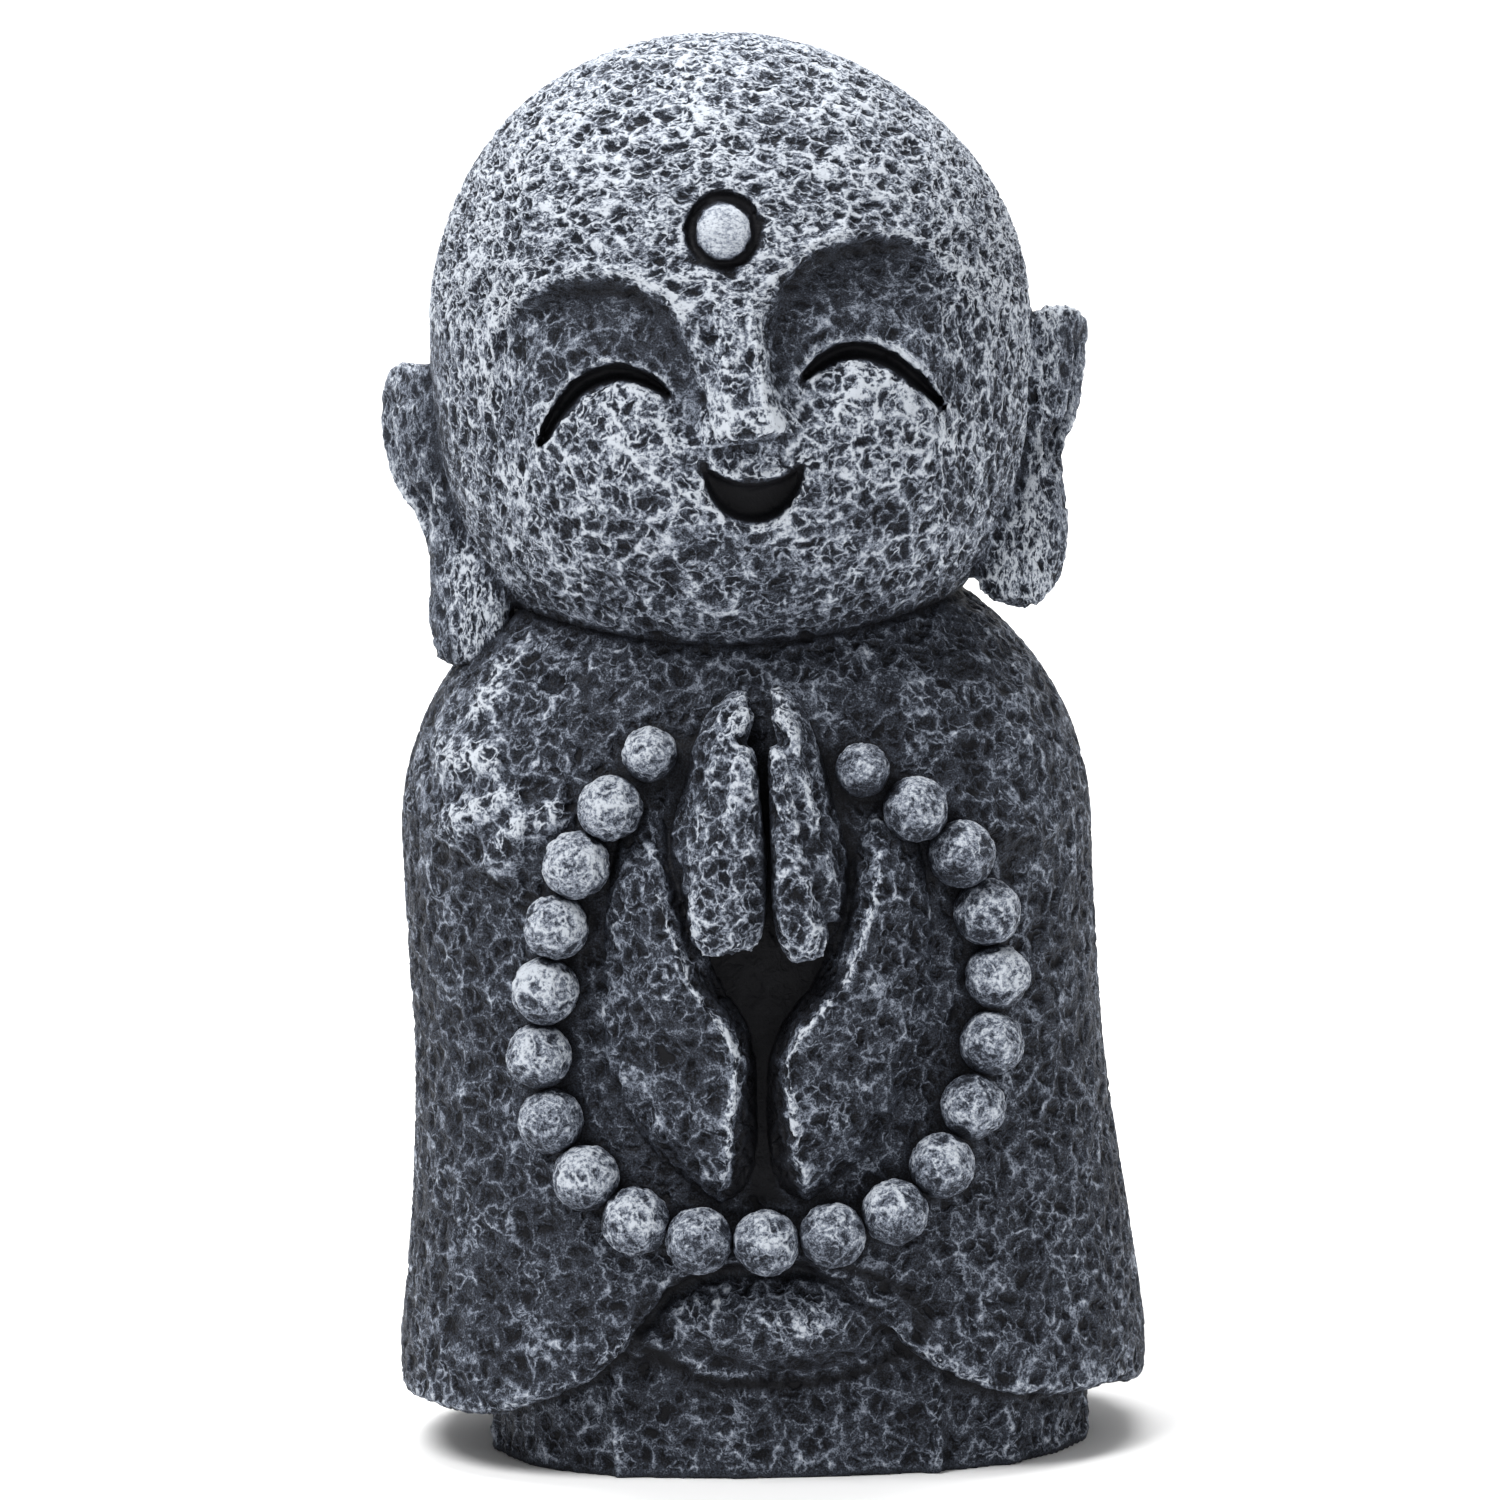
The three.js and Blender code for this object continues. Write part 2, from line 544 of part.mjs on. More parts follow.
// The front of the robe at (x, z).
function robeFront(x, z) {
  const [w, d] = robeSize(z);
  const across = Math.min(0.98, Math.abs(x - robeMiddle(z)) / w);
  return ROBE.y - d * Math.pow(1 - across ** ROBE.corner, 1 / ROBE.corner);
}

function bead(place, index) {
  const last = BEADS.count - 1;
  const radius = index === 0 || index === last ? BEADS.endRadius : BEADS.radius;
  const surface = robeFront(place.x, Math.max(place.z, 22));
  const geometry = new THREE.IcosahedronGeometry(radius, 1);
  const y = surface - radius * BEADS.standsOut;
  return solid(formed(geometry, (p) => p.add(new THREE.Vector3(place.x, y, place.z))));
}

// ---------------------------------------------------------------------------------------------------------
// The casting
// ---------------------------------------------------------------------------------------------------------

function casting() {
  const forms = [robe(), skirt(), head(), ...FLAPS.map(flap)];
  for (const side of [-1, 1]) {
    forms.push(sleeve(side), wrist(side));
    for (const shape of FINGER_SETS[side < 0 ? 0 : 1]) forms.push(finger(side, shape));
  }
  beadPlaces().forEach((place, index) => forms.push(bead(place, index)));
  for (const ear of EARS) forms.push(earBody(ear));
  const cuts = [eyeGroove(-1), eyeGroove(1), mouthCut(), urnaRing(), ...EARS.map(earHollow)];
  const joined = forms.reduce((whole, form) => whole.add(form));
  return cuts.reduce((whole, cut) => whole.subtract(cut), joined).add(urna());
}

function meshOf(name, made, material) {
  const { numProp, vertProperties, triVerts } = made.getMesh();
  const positions = new Float32Array((vertProperties.length / numProp) * 3);
  for (let i = 0; i < positions.length / 3; i++) {
    positions.set(vertProperties.subarray(i * numProp, i * numProp + 3), i * 3);
  }
  const geometry = new THREE.BufferGeometry();
  geometry.setAttribute("position", new THREE.BufferAttribute(positions, 3));
  geometry.setIndex(new THREE.BufferAttribute(triVerts, 1));
  geometry.computeVertexNormals();
  const mesh = new THREE.Mesh(geometry, material);
  mesh.name = name;
  return mesh;
}

const brushedStone = new THREE.MeshStandardMaterial({ color: 0x4a4e56, roughness: 0.85, metalness: 0 });

// The origin is under the middle of the whole figure.
const figure = meshOf("jizo_statue", casting(), brushedStone);
const bounds = new THREE.Box3().setFromObject(figure);
const middle = bounds.getCenter(new THREE.Vector3());
figure.position.set(-middle.x, -middle.y, -bounds.min.z);

const statue = new THREE.Group();
statue.add(figure);

export default statue;
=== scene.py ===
"""Dresses the small jizo: a cast stone child monk, pitted all over and pale on its raised surface where a dry brush
touched it, with painted shade in its hollows and on its undersides.

The figure is one casting. Its forms are worked out as distance fields on blocks of sample points, in
millimetres, with the same sizes as the solid, and the fields' zero surfaces become the meshes. Geometry Nodes
string the beads and press the stone's pits into every piece.
"""

import json
import math

import bpy
import numpy as np
from bpy.props import FloatProperty, FloatVectorProperty, IntProperty, PointerProperty
from mathutils import Matrix, Vector

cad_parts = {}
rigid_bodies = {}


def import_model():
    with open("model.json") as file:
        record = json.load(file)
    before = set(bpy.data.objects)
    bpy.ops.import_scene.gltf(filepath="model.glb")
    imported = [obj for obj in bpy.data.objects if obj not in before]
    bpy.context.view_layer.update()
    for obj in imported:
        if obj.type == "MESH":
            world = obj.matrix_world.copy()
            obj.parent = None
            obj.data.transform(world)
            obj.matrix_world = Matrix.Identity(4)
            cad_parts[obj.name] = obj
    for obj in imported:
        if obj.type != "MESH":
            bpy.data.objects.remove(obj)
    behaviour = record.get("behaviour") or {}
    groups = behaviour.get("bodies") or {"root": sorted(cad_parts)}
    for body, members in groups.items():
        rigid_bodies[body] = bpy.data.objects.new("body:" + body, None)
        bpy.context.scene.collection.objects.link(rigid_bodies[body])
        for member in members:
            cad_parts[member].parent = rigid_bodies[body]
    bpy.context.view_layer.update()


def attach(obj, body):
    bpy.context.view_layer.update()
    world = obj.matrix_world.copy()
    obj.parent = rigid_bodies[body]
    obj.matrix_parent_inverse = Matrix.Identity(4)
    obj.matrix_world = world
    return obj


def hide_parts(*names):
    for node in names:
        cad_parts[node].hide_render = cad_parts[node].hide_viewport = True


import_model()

bl_info = {
    "name": "Cast stone jizo",
    "version": (1, 0, 0),
    "blender": (4, 5, 0),
    "location": "3D View > Sidebar > Jizo",
    "description": "Sculpts and finishes a small cast stone jizo",
    "category": "Add Mesh",
}

NODE = "jizo_statue"
BODY = "root"
MM = 0.001
# The forms below are placed round the robe's axis. The figure's origin is under the middle of the whole.
TO_ORIGIN = np.array([-0.2, 1.34, 0.0])

# ------------------------------------------------------------------------------------------------------------
# Sizes a user would change
# ------------------------------------------------------------------------------------------------------------


def length(name, default_mm, description):
    return FloatProperty(
        name=name, description=description, default=default_mm * MM, min=0.0, unit="LENGTH", subtype="DISTANCE"
    )


class JizoHead(bpy.types.PropertyGroup):
    half_width: length("Half width", 31.8, "From the head's middle to its side at the widest level")
    half_depth: length("Half depth", 30.5, "From the head's middle to its front, without the nose")
    crown: length("Crown", 30.5, "Height of the crown above the widest level")
    jaw: length("Jaw", 36.9, "Drop of the jaw below the widest level")
    lean: FloatProperty(name="Face lean", description="Lean of the face", default=math.radians(7.5), subtype="ANGLE")
    brow_hollow: length("Brow hollow", 2.2, "Depth of the hollow under each brow")
    nose: length("Nose", 3.6, "How far the nose stands out at its foot")
    eye_groove: length("Eye groove", 0.85, "Half width of the groove of a closed eye")
    mouth_depth: length("Mouth depth", 3.0, "Depth of the open mouth")
    pitch: length("Sample pitch", 0.48, "Distance between sample points")


class JizoRobe(bpy.types.PropertyGroup):
    half_width: length("Half width", 36.7, "Half width above the flare")
    half_depth: length("Half depth", 27.5, "Half depth above the flare")
    flare: length("Flare", 3.2, "How far the hem stands out past the robe above it")
    hem: length("Hem", 5.6, "Height of the hem at the back")
    pitch: length("Sample pitch", 0.58, "Distance between sample points")


class JizoHands(bpy.types.PropertyGroup):
    sleeve_rise: length("Sleeve rise", 5.4, "How far the hanging sleeves stand out from the robe")
    finger_front: length("Finger front", 33.6, "How far forward the foremost fingers lie")
    pitch: length("Sample pitch", 0.32, "Distance between sample points")


class JizoBeads(bpy.types.PropertyGroup):
    count: IntProperty(name="Beads", description="Number of beads that show", default=21, min=3)
    radius: length("Radius", 3.55, "Radius of a bead")
    end_radius: length("End radius", 2.9, "Radius of the bead next to each hand")
    stands_out: FloatProperty(name="Stands out", description="Middle's height over the robe, in radii", default=0.45)


class JizoStone(bpy.types.PropertyGroup):
    pit_depth: length("Pit depth", 0.6, "Depth of the pits below the cast surface")
    cell: length("Cell", 3.2, "Size of the larger pits")
    small_cell: length("Small cell", 1.65, "Size of the smaller pits")
    dark: FloatVectorProperty(
        name="Stone", description="Colour of the bare stone", default=(0.006, 0.0062, 0.0078), size=3, subtype="COLOR"
    )
    wash: FloatVectorProperty(
        name="Wash", description="Thin blue-grey in the grain", default=(0.042, 0.049, 0.066), size=3, subtype="COLOR"
    )
    thin: FloatVectorProperty(
        name="Thin paint", description="Where the dry brush barely touched", default=(0.19, 0.215, 0.265), size=3,
        subtype="COLOR",
    )
    pale: FloatVectorProperty(
        name="Thick paint", description="Where the paint is thick", default=(0.50, 0.535, 0.585), size=3,
        subtype="COLOR",
    )


class JizoStage(bpy.types.PropertyGroup):
    floor: length("Floor", 3000, "Half width of the floor")
    distance: length("Camera distance", 900, "Distance from the camera to the figure")
    elevation: FloatProperty(
        name="Elevation", description="Camera's height as an angle", default=math.radians(7.0), subtype="ANGLE"
    )
    roll: FloatProperty(
        name="Roll", description="Turn of the camera about its view", default=math.radians(1.2), subtype="ANGLE"
    )
    focal_length: FloatProperty(name="Focal length", description="In millimetres", default=203.3)
    key: FloatProperty(name="Key light", description="Power of the main light", default=15.5, subtype="POWER")


SIZES = (JizoHead, JizoRobe, JizoHands, JizoBeads, JizoStone, JizoStage)


def millimetres(group, *names):
    """The group's lengths in millimetres."""
    return [getattr(group, name) / MM for name in names]


# ------------------------------------------------------------------------------------------------------------
# Fields and blocks of sample points
# ------------------------------------------------------------------------------------------------------------


def smoothstep(start, end, t):
    t = np.clip((t - start) / (end - start), 0, 1)
    return t * t * (3 - 2 * t)


def mix(a, b, t):
    return a + (b - a) * t


def bell(t):
    return np.exp(-t * t)


def join(a, b, soft):
    """The union of two fields, with a fillet about `soft` wide."""
    share = np.clip(0.5 + 0.5 * (b - a) / soft, 0, 1)
    return mix(b, a, share) - soft * share * (1 - share)


def common(a, b, soft):
    return -join(-a, -b, soft)


def superellipse(a, b, corner):
    return (np.abs(a) ** corner + np.abs(b) ** corner) ** (1 / corner)


def curve_through(points, steps):
    """Points evenly spaced along a smooth curve through `points`."""
    points = np.array(points, float)
    padded = np.vstack([2 * points[0] - points[1], points, 2 * points[-1] - points[-2]])
    dense = []
    for i in range(len(points) - 1):
        a, b, c, d = padded[i : i + 4]
        t = np.linspace(0, 1, 24, endpoint=False)[:, None]
        cubic = 2 * b + (c - a) * t + (2 * a - 5 * b + 4 * c - d) * t**2 + (3 * b - a - 3 * c + d) * t**3
        dense.append(cubic / 2)
    dense = np.vstack(dense + [points[-1:]])
    travelled = np.concatenate([[0], np.cumsum(np.linalg.norm(np.diff(dense, axis=0), axis=1))])
    wanted = np.linspace(0, travelled[-1], steps)
    return np.stack([np.interp(wanted, travelled, dense[:, k]) for k in range(3)], 1)


class Block:
    """A box of sample points, `pitch` apart."""

    def __init__(self, low, high, pitch):
        self.low = np.array(low, float)
        self.pitch = pitch
        axes = [np.arange(a, b + pitch, pitch, dtype=np.float32) for a, b in zip(low, high)]
        self.x, self.y, self.z = np.meshgrid(*axes, indexing="ij", sparse=True)
        self.shape = tuple(len(a) for a in axes)

    def window(self, low, high):
        """The slices and the points of the part of the block between two corners."""
        spans = []
        for k in range(3):
            first = int(np.clip((low[k] - self.low[k]) // self.pitch, 0, self.shape[k]))
            last = int(np.clip((high[k] - self.low[k]) // self.pitch + 2, 0, self.shape[k]))
            spans.append(slice(first, last))
        return tuple(spans), (self.x[spans[0]], self.y[:, spans[1]], self.z[:, :, spans[2]])

    def add(self, field, low, high, form, soft):
        """Joins a form, worked out only between two corners, to the block's field."""
        spans, points = self.window(low, high)
        if all(s.stop > s.start for s in spans):
            field[spans] = join(field[spans], form(*points), soft)


def surface(field, block):
    """Points and four-cornered faces of the field's zero surface. The inside is negative."""
    inside = field < 0
    cells = tuple(n - 1 for n in field.shape)
    corners = [(i, j, k) for i in (0, 1) for j in (0, 1) for k in (0, 1)]
    shifted = lambda a, c: a[tuple(slice(o, o + n) for o, n in zip(c, cells))]
    filled = sum(shifted(inside, c).astype(np.int8) for c in corners)
    active = np.nonzero((filled > 0) & (filled < 8))
    at = np.stack(active, 1)
    values = {c: field[tuple(at[:, k] + c[k] for k in range(3))] for c in corners}
    total = np.zeros((len(at), 3))
    crossings = np.zeros(len(at))
    for c in corners:
        for axis in range(3):
            if c[axis]:
                continue
            other = tuple(1 if k == axis else c[k] for k in range(3))
            a, b = values[c], values[other]
            crosses = (a < 0) != (b < 0)
            share = np.where(crosses, a / np.where(a == b, 1, a - b), 0)
            place = np.array(c, float)[None] + share[:, None] * np.eye(3)[axis]
            total += place * crosses[:, None]
            crossings += crosses
    points = block.low + block.pitch * (at + total / crossings[:, None])
    number = np.full(cells, -1, np.int64)
    number[active] = np.arange(len(at))
    faces = []
    for axis in range(3):
        u, v = (axis + 1) % 3, (axis + 2) % 3
        here = [slice(1, n - 1) for n in field.shape]
        here[axis] = slice(0, field.shape[axis] - 1)
        ahead = list(here)
        ahead[axis] = slice(1, field.shape[axis])
        start, end = inside[tuple(here)], inside[tuple(ahead)]
        edge = np.stack(np.nonzero(start != end), 1)
        leaving = start[tuple(edge.T)]
        base = edge + np.array([0 if k == axis else 1 for k in range(3)])
        ring = []
        for du, dv in ((-1, -1), (0, -1), (0, 0), (-1, 0)):
            cell = base.copy()
            cell[:, u] += du
            cell[:, v] += dv
            ring.append(number[tuple(cell.T)])
        quads = np.stack(ring, 1)
        faces.append(np.where(leaving[:, None], quads, quads[:, ::-1]))
    return points, np.vstack(faces)


def mesh_piece(name, points, faces):
    """A new object from points in millimetres round the robe's axis."""
    mesh = bpy.data.meshes.new(name)
    mesh.vertices.add(len(points))
    mesh.vertices.foreach_set("co", ((points + TO_ORIGIN) * MM).ravel())
    mesh.loops.add(faces.size)
    mesh.loops.foreach_set("vertex_index", faces.ravel())
    mesh.polygons.add(len(faces))
    mesh.polygons.foreach_set("loop_start", np.arange(0, faces.size, 4))
    mesh.polygons.foreach_set("use_smooth", np.ones(len(faces), bool))
    mesh.update(calc_edges=True)
    mesh.validate()
    piece = bpy.data.objects.new(name, mesh)
    bpy.context.scene.collection.objects.link(piece)
    return piece


def swept(x, y, z, line, wide, thick, facing, corner=2.0, relief=None):
    """The field of a bar drawn along `line`. wide(t) and thick(t) are its half sizes and facing(t) the way its
    front faces, for t from 0 to 1 along it, and relief(across, t) stands out from its front."""
    shape = np.broadcast_shapes(x.shape, y.shape, z.shape)
    spot = np.stack([np.broadcast_to(c, shape).ravel() for c in (x, y, z)], 1)
    t = np.linspace(0, 1, len(line))
    along = np.gradient(line, axis=0)
    along /= np.linalg.norm(along, axis=1, keepdims=True)
    front = np.stack([facing(s) for s in t])
    across = np.cross(along, front)
    across /= np.linalg.norm(across, axis=1, keepdims=True)
    front = np.cross(across, along)
    nearest = np.zeros(len(spot), np.int32)
    best = np.full(len(spot), np.inf)
    for i, centre in enumerate(line):
        apart = ((spot - centre) ** 2).sum(1)
        closer = apart < best
        best[closer] = apart[closer]
        nearest[closer] = i
    away = spot - line[nearest]
    side = (away * across[nearest]).sum(1)
    out = (away * front[nearest]).sum(1)
    past = (away * along[nearest]).sum(1)
    w = np.array([wide(s) for s in t])[nearest]
    h = np.array([thick(s) for s in t])[nearest]
    if relief is not None:
        h = h + np.where(out > 0, relief(side / w, t[nearest]), 0)
    reach = superellipse(side / w, out / h, corner)
    span = np.hypot(side, out)
    field = span - span / np.maximum(reach, 1e-6)
    at_axis = -np.minimum(w, h)
    field = np.where(reach < 0.05, at_axis, field)
    ends = np.hypot(np.maximum(field, 0), past)
    beyond = ((nearest == 0) & (past < 0)) | ((nearest == len(line) - 1) & (past > 0))
    field = np.where(beyond, np.maximum(ends, field), field)
    return field.reshape(shape).astype(np.float32)


# ------------------------------------------------------------------------------------------------------------
# Head
# ------------------------------------------------------------------------------------------------------------

HEAD_X = -2.1
HEAD_WIDEST = 119.5
CROWN_LEAN = -1.2
JAW_FULLNESS = 2.6
FACE_X = -0.7
FACE_Z = 116.6
# Along the face: h to the viewer's right and v up from the face's middle, in millimetres. The carver did not
# place the two eyes alike, so what has two numbers has the left one's and then the right one's.
BROW = dict(h=(15.6, 13.1), v=(-1.4, -1.2), half_width=11.4, half_height=(12.9, 12.6), corner=2.3)
CHEEK = dict(h=15.0, v=-11.0, spread=8.0, swell=1.6)
MUZZLE = dict(v=-12.0, spread=7.0, swell=0.8)
NOSE = dict(top=9.0, foot=-6.9, bridge_half=3.0, wing_half=5.2)
EYE = dict(h=(15.0, 12.6), half_width=7.3, peak=(1.2, -0.4), arch=4.7, droop=(1.7, 2.7), depth=2.0)
MOUTH = dict(h=-0.6, half_width=5.2, top=-9.7, lip_dip=2.0, sag=6.3, lean=math.radians(-8.5))
URNA = dict(v=14.2, radius=3.0, ring=3.4, ring_half=0.55, ring_depth=1.1, dome=1.0)
EARS = (
    (-1, [(-35.3, 115.2), (-35.7, 109.5), (-34.2, 103), (-31.6, 96), (-30, 88.4), (-31, 84)]),
    (1, [(33.1, 120.0), (31.9, 114.5), (30.4, 106), (29.8, 98.5), (27.4, 92.2), (27, 89.4)]),
)
EAR = dict(upper_half=6.2, waist_half=3.0, lobe_half=5.4, thickness=2.4, y=3.2, lobe_y=-4.5)


def crown_shift(rise, crown):
    return CROWN_LEAN * smoothstep(8, crown, rise)


def face_axes(x, z, lean):
    c, s = math.cos(lean), math.sin(lean)
    return (x - FACE_X) * c + (z - FACE_Z) * s, (z - FACE_Z) * c - (x - FACE_X) * s


def sided(h, pair):
    """The left number of a pair on the face's left half, the right one on its right half."""
    return mix(pair[0], pair[1], smoothstep(-3, 3, h))


def brow_reach(h, v):
    """0 in the middle of a brow's hollow and 1 along its edge."""
    across = (np.abs(h) - sided(h, BROW["h"])) / BROW["half_width"]
    return superellipse(across, (v - sided(h, BROW["v"])) / sided(h, BROW["half_height"]), BROW["corner"])


def eye_line(h, v, groove):
    """How far along a closed eye a point is, how far over its groove, and the groove's half width there."""
    t = (np.abs(h) - sided(h, EYE["h"])) / EYE["half_width"]
    droop = sided(h, EYE["droop"])
    arc = sided(h, EYE["peak"]) - EYE["arch"] * t**2 - droop * t
    slope = (-2 * EYE["arch"] * t - droop) / EYE["half_width"]
    over = (v - arc) / np.sqrt(1 + slope**2)
    half = groove * np.sqrt(np.clip(1 - np.abs(t) ** 2.2, 0, 1)) + 1e-3
    return t, over, half


def eye_rims(t, over, half):
    """The fine rims over and under the groove."""
    within = smoothstep(1.12, 0.95, np.abs(t))
    return bell((over - half - 0.4) / 0.45) * within, bell((over + half + 0.35) / 0.4) * within


def eye_relief(h, v, groove):
    """The lid over a closed eye, its groove, and the rims on both sides of the groove."""
    t, over, half = eye_line(h, v, groove)
    upper, lower = eye_rims(t, over, half)
    cut = -EYE["depth"] * smoothstep(1.35, 0.35, np.abs(over) / half) * (half > 0.15)
    lid = 0.75 * bell((over - 3.2) / 2.4) * smoothstep(1.5, 0.7, np.abs(t))
    return cut + 0.5 * upper + 0.25 * lower + lid


def mouth_line(h, v):
    """How far a point is outside the open mouth, which is a crescent, with its place along and over the mouth."""
    c, s = math.cos(MOUTH["lean"]), math.sin(MOUTH["lean"])
    a = (h - MOUTH["h"]) * c + (v - MOUTH["top"]) * s
    b = (v - MOUTH["top"]) * c - (h - MOUTH["h"]) * s
    inner = np.clip(1 - (a / MOUTH["half_width"]) ** 2, 0, 1)
    upper = b + MOUTH["lip_dip"] * inner
    lower = -b - MOUTH["sag"] * np.sqrt(inner)
    return np.maximum(np.maximum(upper, lower * 0.75), np.abs(a) - MOUTH["half_width"]), a, -lower


def mouth_relief(h, v, depth):
    outside, a, over_chin = mouth_line(h, v)
    hollow = -depth * smoothstep(0.1, -0.7, outside)
    rim = 0.35 * bell((outside - 0.5) / 0.45)
    lip = 0.5 * bell(a / 3.2) * bell((over_chin - 1.4) / 0.8)
    return hollow + rim + lip


def urna_relief(h, v):
    """The round forehead mark in its ring groove."""
    r = np.hypot(h, v - URNA["v"])
    ring = -URNA["ring_depth"] * smoothstep(1.25, 0.3, np.abs(r - URNA["ring"]) / URNA["ring_half"])
    dome = URNA["dome"] * np.sqrt(np.clip(1 - (r / URNA["radius"]) ** 2, 0, 1))
    return ring + dome


def nose_relief(side, v, rise):
    half = mix(NOSE["wing_half"], NOSE["bridge_half"], smoothstep(NOSE["foot"], NOSE["top"] - 3, v) ** 0.7)
    low = smoothstep(NOSE["foot"] - 1.0, NOSE["foot"] + 0.5, v)
    height = rise * mix(1, 0.12, np.clip((v - NOSE["foot"] - 1) / (NOSE["top"] - NOSE["foot"]), 0, 1)) * low
    return height * (1 - smoothstep(half * 0.45, half * 1.12, side))


def face_relief(h, v, sizes):
    """How far the face stands out from the plain head at (h, v)."""
    groove, hollow_depth, nose, mouth = millimetres(sizes, "eye_groove", "brow_hollow", "nose", "mouth_depth")
    side = np.abs(h)
    arch = brow_reach(h, v)
    low_end = mix(-8.5, -4.0, smoothstep(6, 12, side))
    fade = mix(1, 0.45, smoothstep(13, 24, side)) * smoothstep(low_end, low_end + 6, v)
    hollow = -hollow_depth * (1 - smoothstep(0.84, 1.0, arch)) * fade
    brow_edge = 0.5 * bell((arch - 1.05) / 0.05) * fade
    cheek = CHEEK["swell"] * bell((side - CHEEK["h"]) / CHEEK["spread"]) * bell((v - CHEEK["v"]) / CHEEK["spread"])
    muzzle = MUZZLE["swell"] * bell(h / MUZZLE["spread"]) * bell((v - MUZZLE["v"]) / MUZZLE["spread"])
    relief = hollow + brow_edge + cheek + muzzle + nose_relief(side, v, nose) + eye_relief(h, v, groove)
    return relief + mouth_relief(h, v, mouth) + urna_relief(h, v)


def ear_relief(side):
    """The hollow inside the ear's outer rim, the fold in front of it, and the small bump over the ear's hole."""

    def relief(across, t):
        a = across * side
        hollow = -2.4 * bell((a + 0.40) / 0.24) * smoothstep(0.07, 0.15, t) * smoothstep(0.56, 0.42, t)
        fold = 0.9 * smoothstep(-0.2, 0.1, a) * smoothstep(0.95, 0.6, a) * smoothstep(0.07, 0.15, t)
        fold = fold * smoothstep(0.42, 0.36, t)
        hole = -1.8 * bell((a - 0.25) / 0.3) * bell((t - 0.47) / 0.05)
        bump = 1.7 * bell((a - 0.75) / 0.28) * bell((t - 0.49) / 0.07)
        lobe = 0.7 * bell(a / 0.7) * bell((t - 0.82) / 0.14)
        return hollow + fold + hole + bump + lobe

    return relief


def add_ear(block, field, side, path):
    steps = 56
    ts = np.linspace(0, 1, len(path))
    depth = mix(EAR["y"], EAR["lobe_y"], smoothstep(0.2, 1, ts))
    line = curve_through([(x, y, z) for (x, z), y in zip(path, depth)], steps)

    def blunt(t):
        return max(0.05, 1 - abs(2 * t - 1) ** 4.5) ** (1 / 4.5)

    def wide(t):
        upper = mix(EAR["upper_half"], EAR["waist_half"], smoothstep(0.25, 0.5, t))
        return mix(upper, EAR["lobe_half"], smoothstep(0.55, 0.85, t)) * blunt(t)

    def facing(t):
        turn = math.radians(mix(58, 30, smoothstep(0.2, 0.8, t)))
        return np.array([side * math.sin(turn), -math.cos(turn), 0])

    low, high = line.min(0) - 8, line.max(0) + 8
    form = lambda x, y, z: swept(
        x, y, z, line, wide, lambda t: EAR["thickness"] * blunt(t), facing, 2.3, ear_relief(side)
    )
    block.add(field, low, high, form, 1.2)


def head_field(block, sizes):
    half_width, half_depth, crown, jaw = millimetres(sizes, "half_width", "half_depth", "crown", "jaw")
    rise = block.z - HEAD_WIDEST
    u = block.x - HEAD_X - crown_shift(rise, crown)
    level = np.hypot(u / half_width, block.y / half_depth)
    above = superellipse(level, rise / crown, 2)
    below = superellipse(level, rise / jaw, JAW_FULLNESS)
    reach = np.where(rise > 0, above, below)
    span = np.sqrt(u**2 + block.y**2 + rise**2)
    h, v = face_axes(block.x, block.z, sizes.lean)
    front = smoothstep(0.05, 0.45, -block.y / np.maximum(span, 1e-3))
    field = span - span / np.maximum(reach, 1e-3) - face_relief(h, v, sizes) * front
    for side, path in EARS:
        add_ear(block, field, side, path)
    return field.astype(np.float32)


# ------------------------------------------------------------------------------------------------------------
# Robe, skirt and flap
# ------------------------------------------------------------------------------------------------------------

ROBE_Y = 1.5
ROBE_CORNER = 2.45
FLARE_BELOW = 44.0
SHOULDER_Z = 66.0
SHOULDER_RISE = 32.0
HEM_CURL = 2.2
# The robe ends inside the head.
ROBE_TOP = 96.0
# The front hem: how high it is at each place across, from the left side round over the parting to the right.
HEM_ACROSS = (-38, -32.5, -28.8, -23.1, -19.4, -15.7, -13.2, -10.7, -6.5, 3.5, 7.5, 9.4, 12.2, 14.2, 17, 20, 24, 28, 36)
HEM_HEIGHT = (6.2, 6.0, 6.3, 8.6, 10.4, 13.6, 17, 20.3, 22.6, 22.6, 20.6, 18.6, 15.8, 13.6, 11.6, 9.8, 8.2, 7.2, 7.0)
# Folds: the line of each crest, as places across and levels, how far it reaches over and under the crest, and
# how high it is.
FOLDS = (
    dict(line=[(-34.6, 67.2), (-32, 70), (-29.6, 71.4), (-27, 72.3), (-24.2, 72.3)], over=0.8, under=3.4, high=2.0),
    dict(line=[(-29.5, 63.8), (-28.3, 65.7), (-26.4, 68.2), (-24, 70.1), (-20, 71.8)], over=0.9, under=3.4, high=2.0),
    dict(line=[(-34.5, 75.2), (-30.5, 75.6), (-26.6, 75.4)], over=2.4, under=2.0, high=1.7),
    dict(line=[(-30, 78.6), (-29.1, 81.9), (-27.6, 84.6), (-24.5, 86.5)], over=0.7, under=1.6, high=0.8),
    dict(line=[(18.5, 72.2), (24, 70.4), (29.5, 67.8)], over=0.7, under=1.8, high=1.1),
    dict(line=[(20.5, 69.5), (26, 67.6), (31.5, 66.4)], over=0.7, under=1.6, high=1.1),
    dict(line=[(16, 76.5), (21, 78), (27, 77), (31, 74)], over=1.0, under=2.4, high=1.0),
    dict(line=[(11.5, 84.5), (18, 81.5), (24, 82), (30, 79)], over=0.8, under=1.8, high=0.8),
)
PITS = ((-21.4, 83.5), (-18.3, 84.0))
SKIRT = dict(x=1.9, y=0.7, half_width=31.9, half_depth=25.0, corner=2.6)
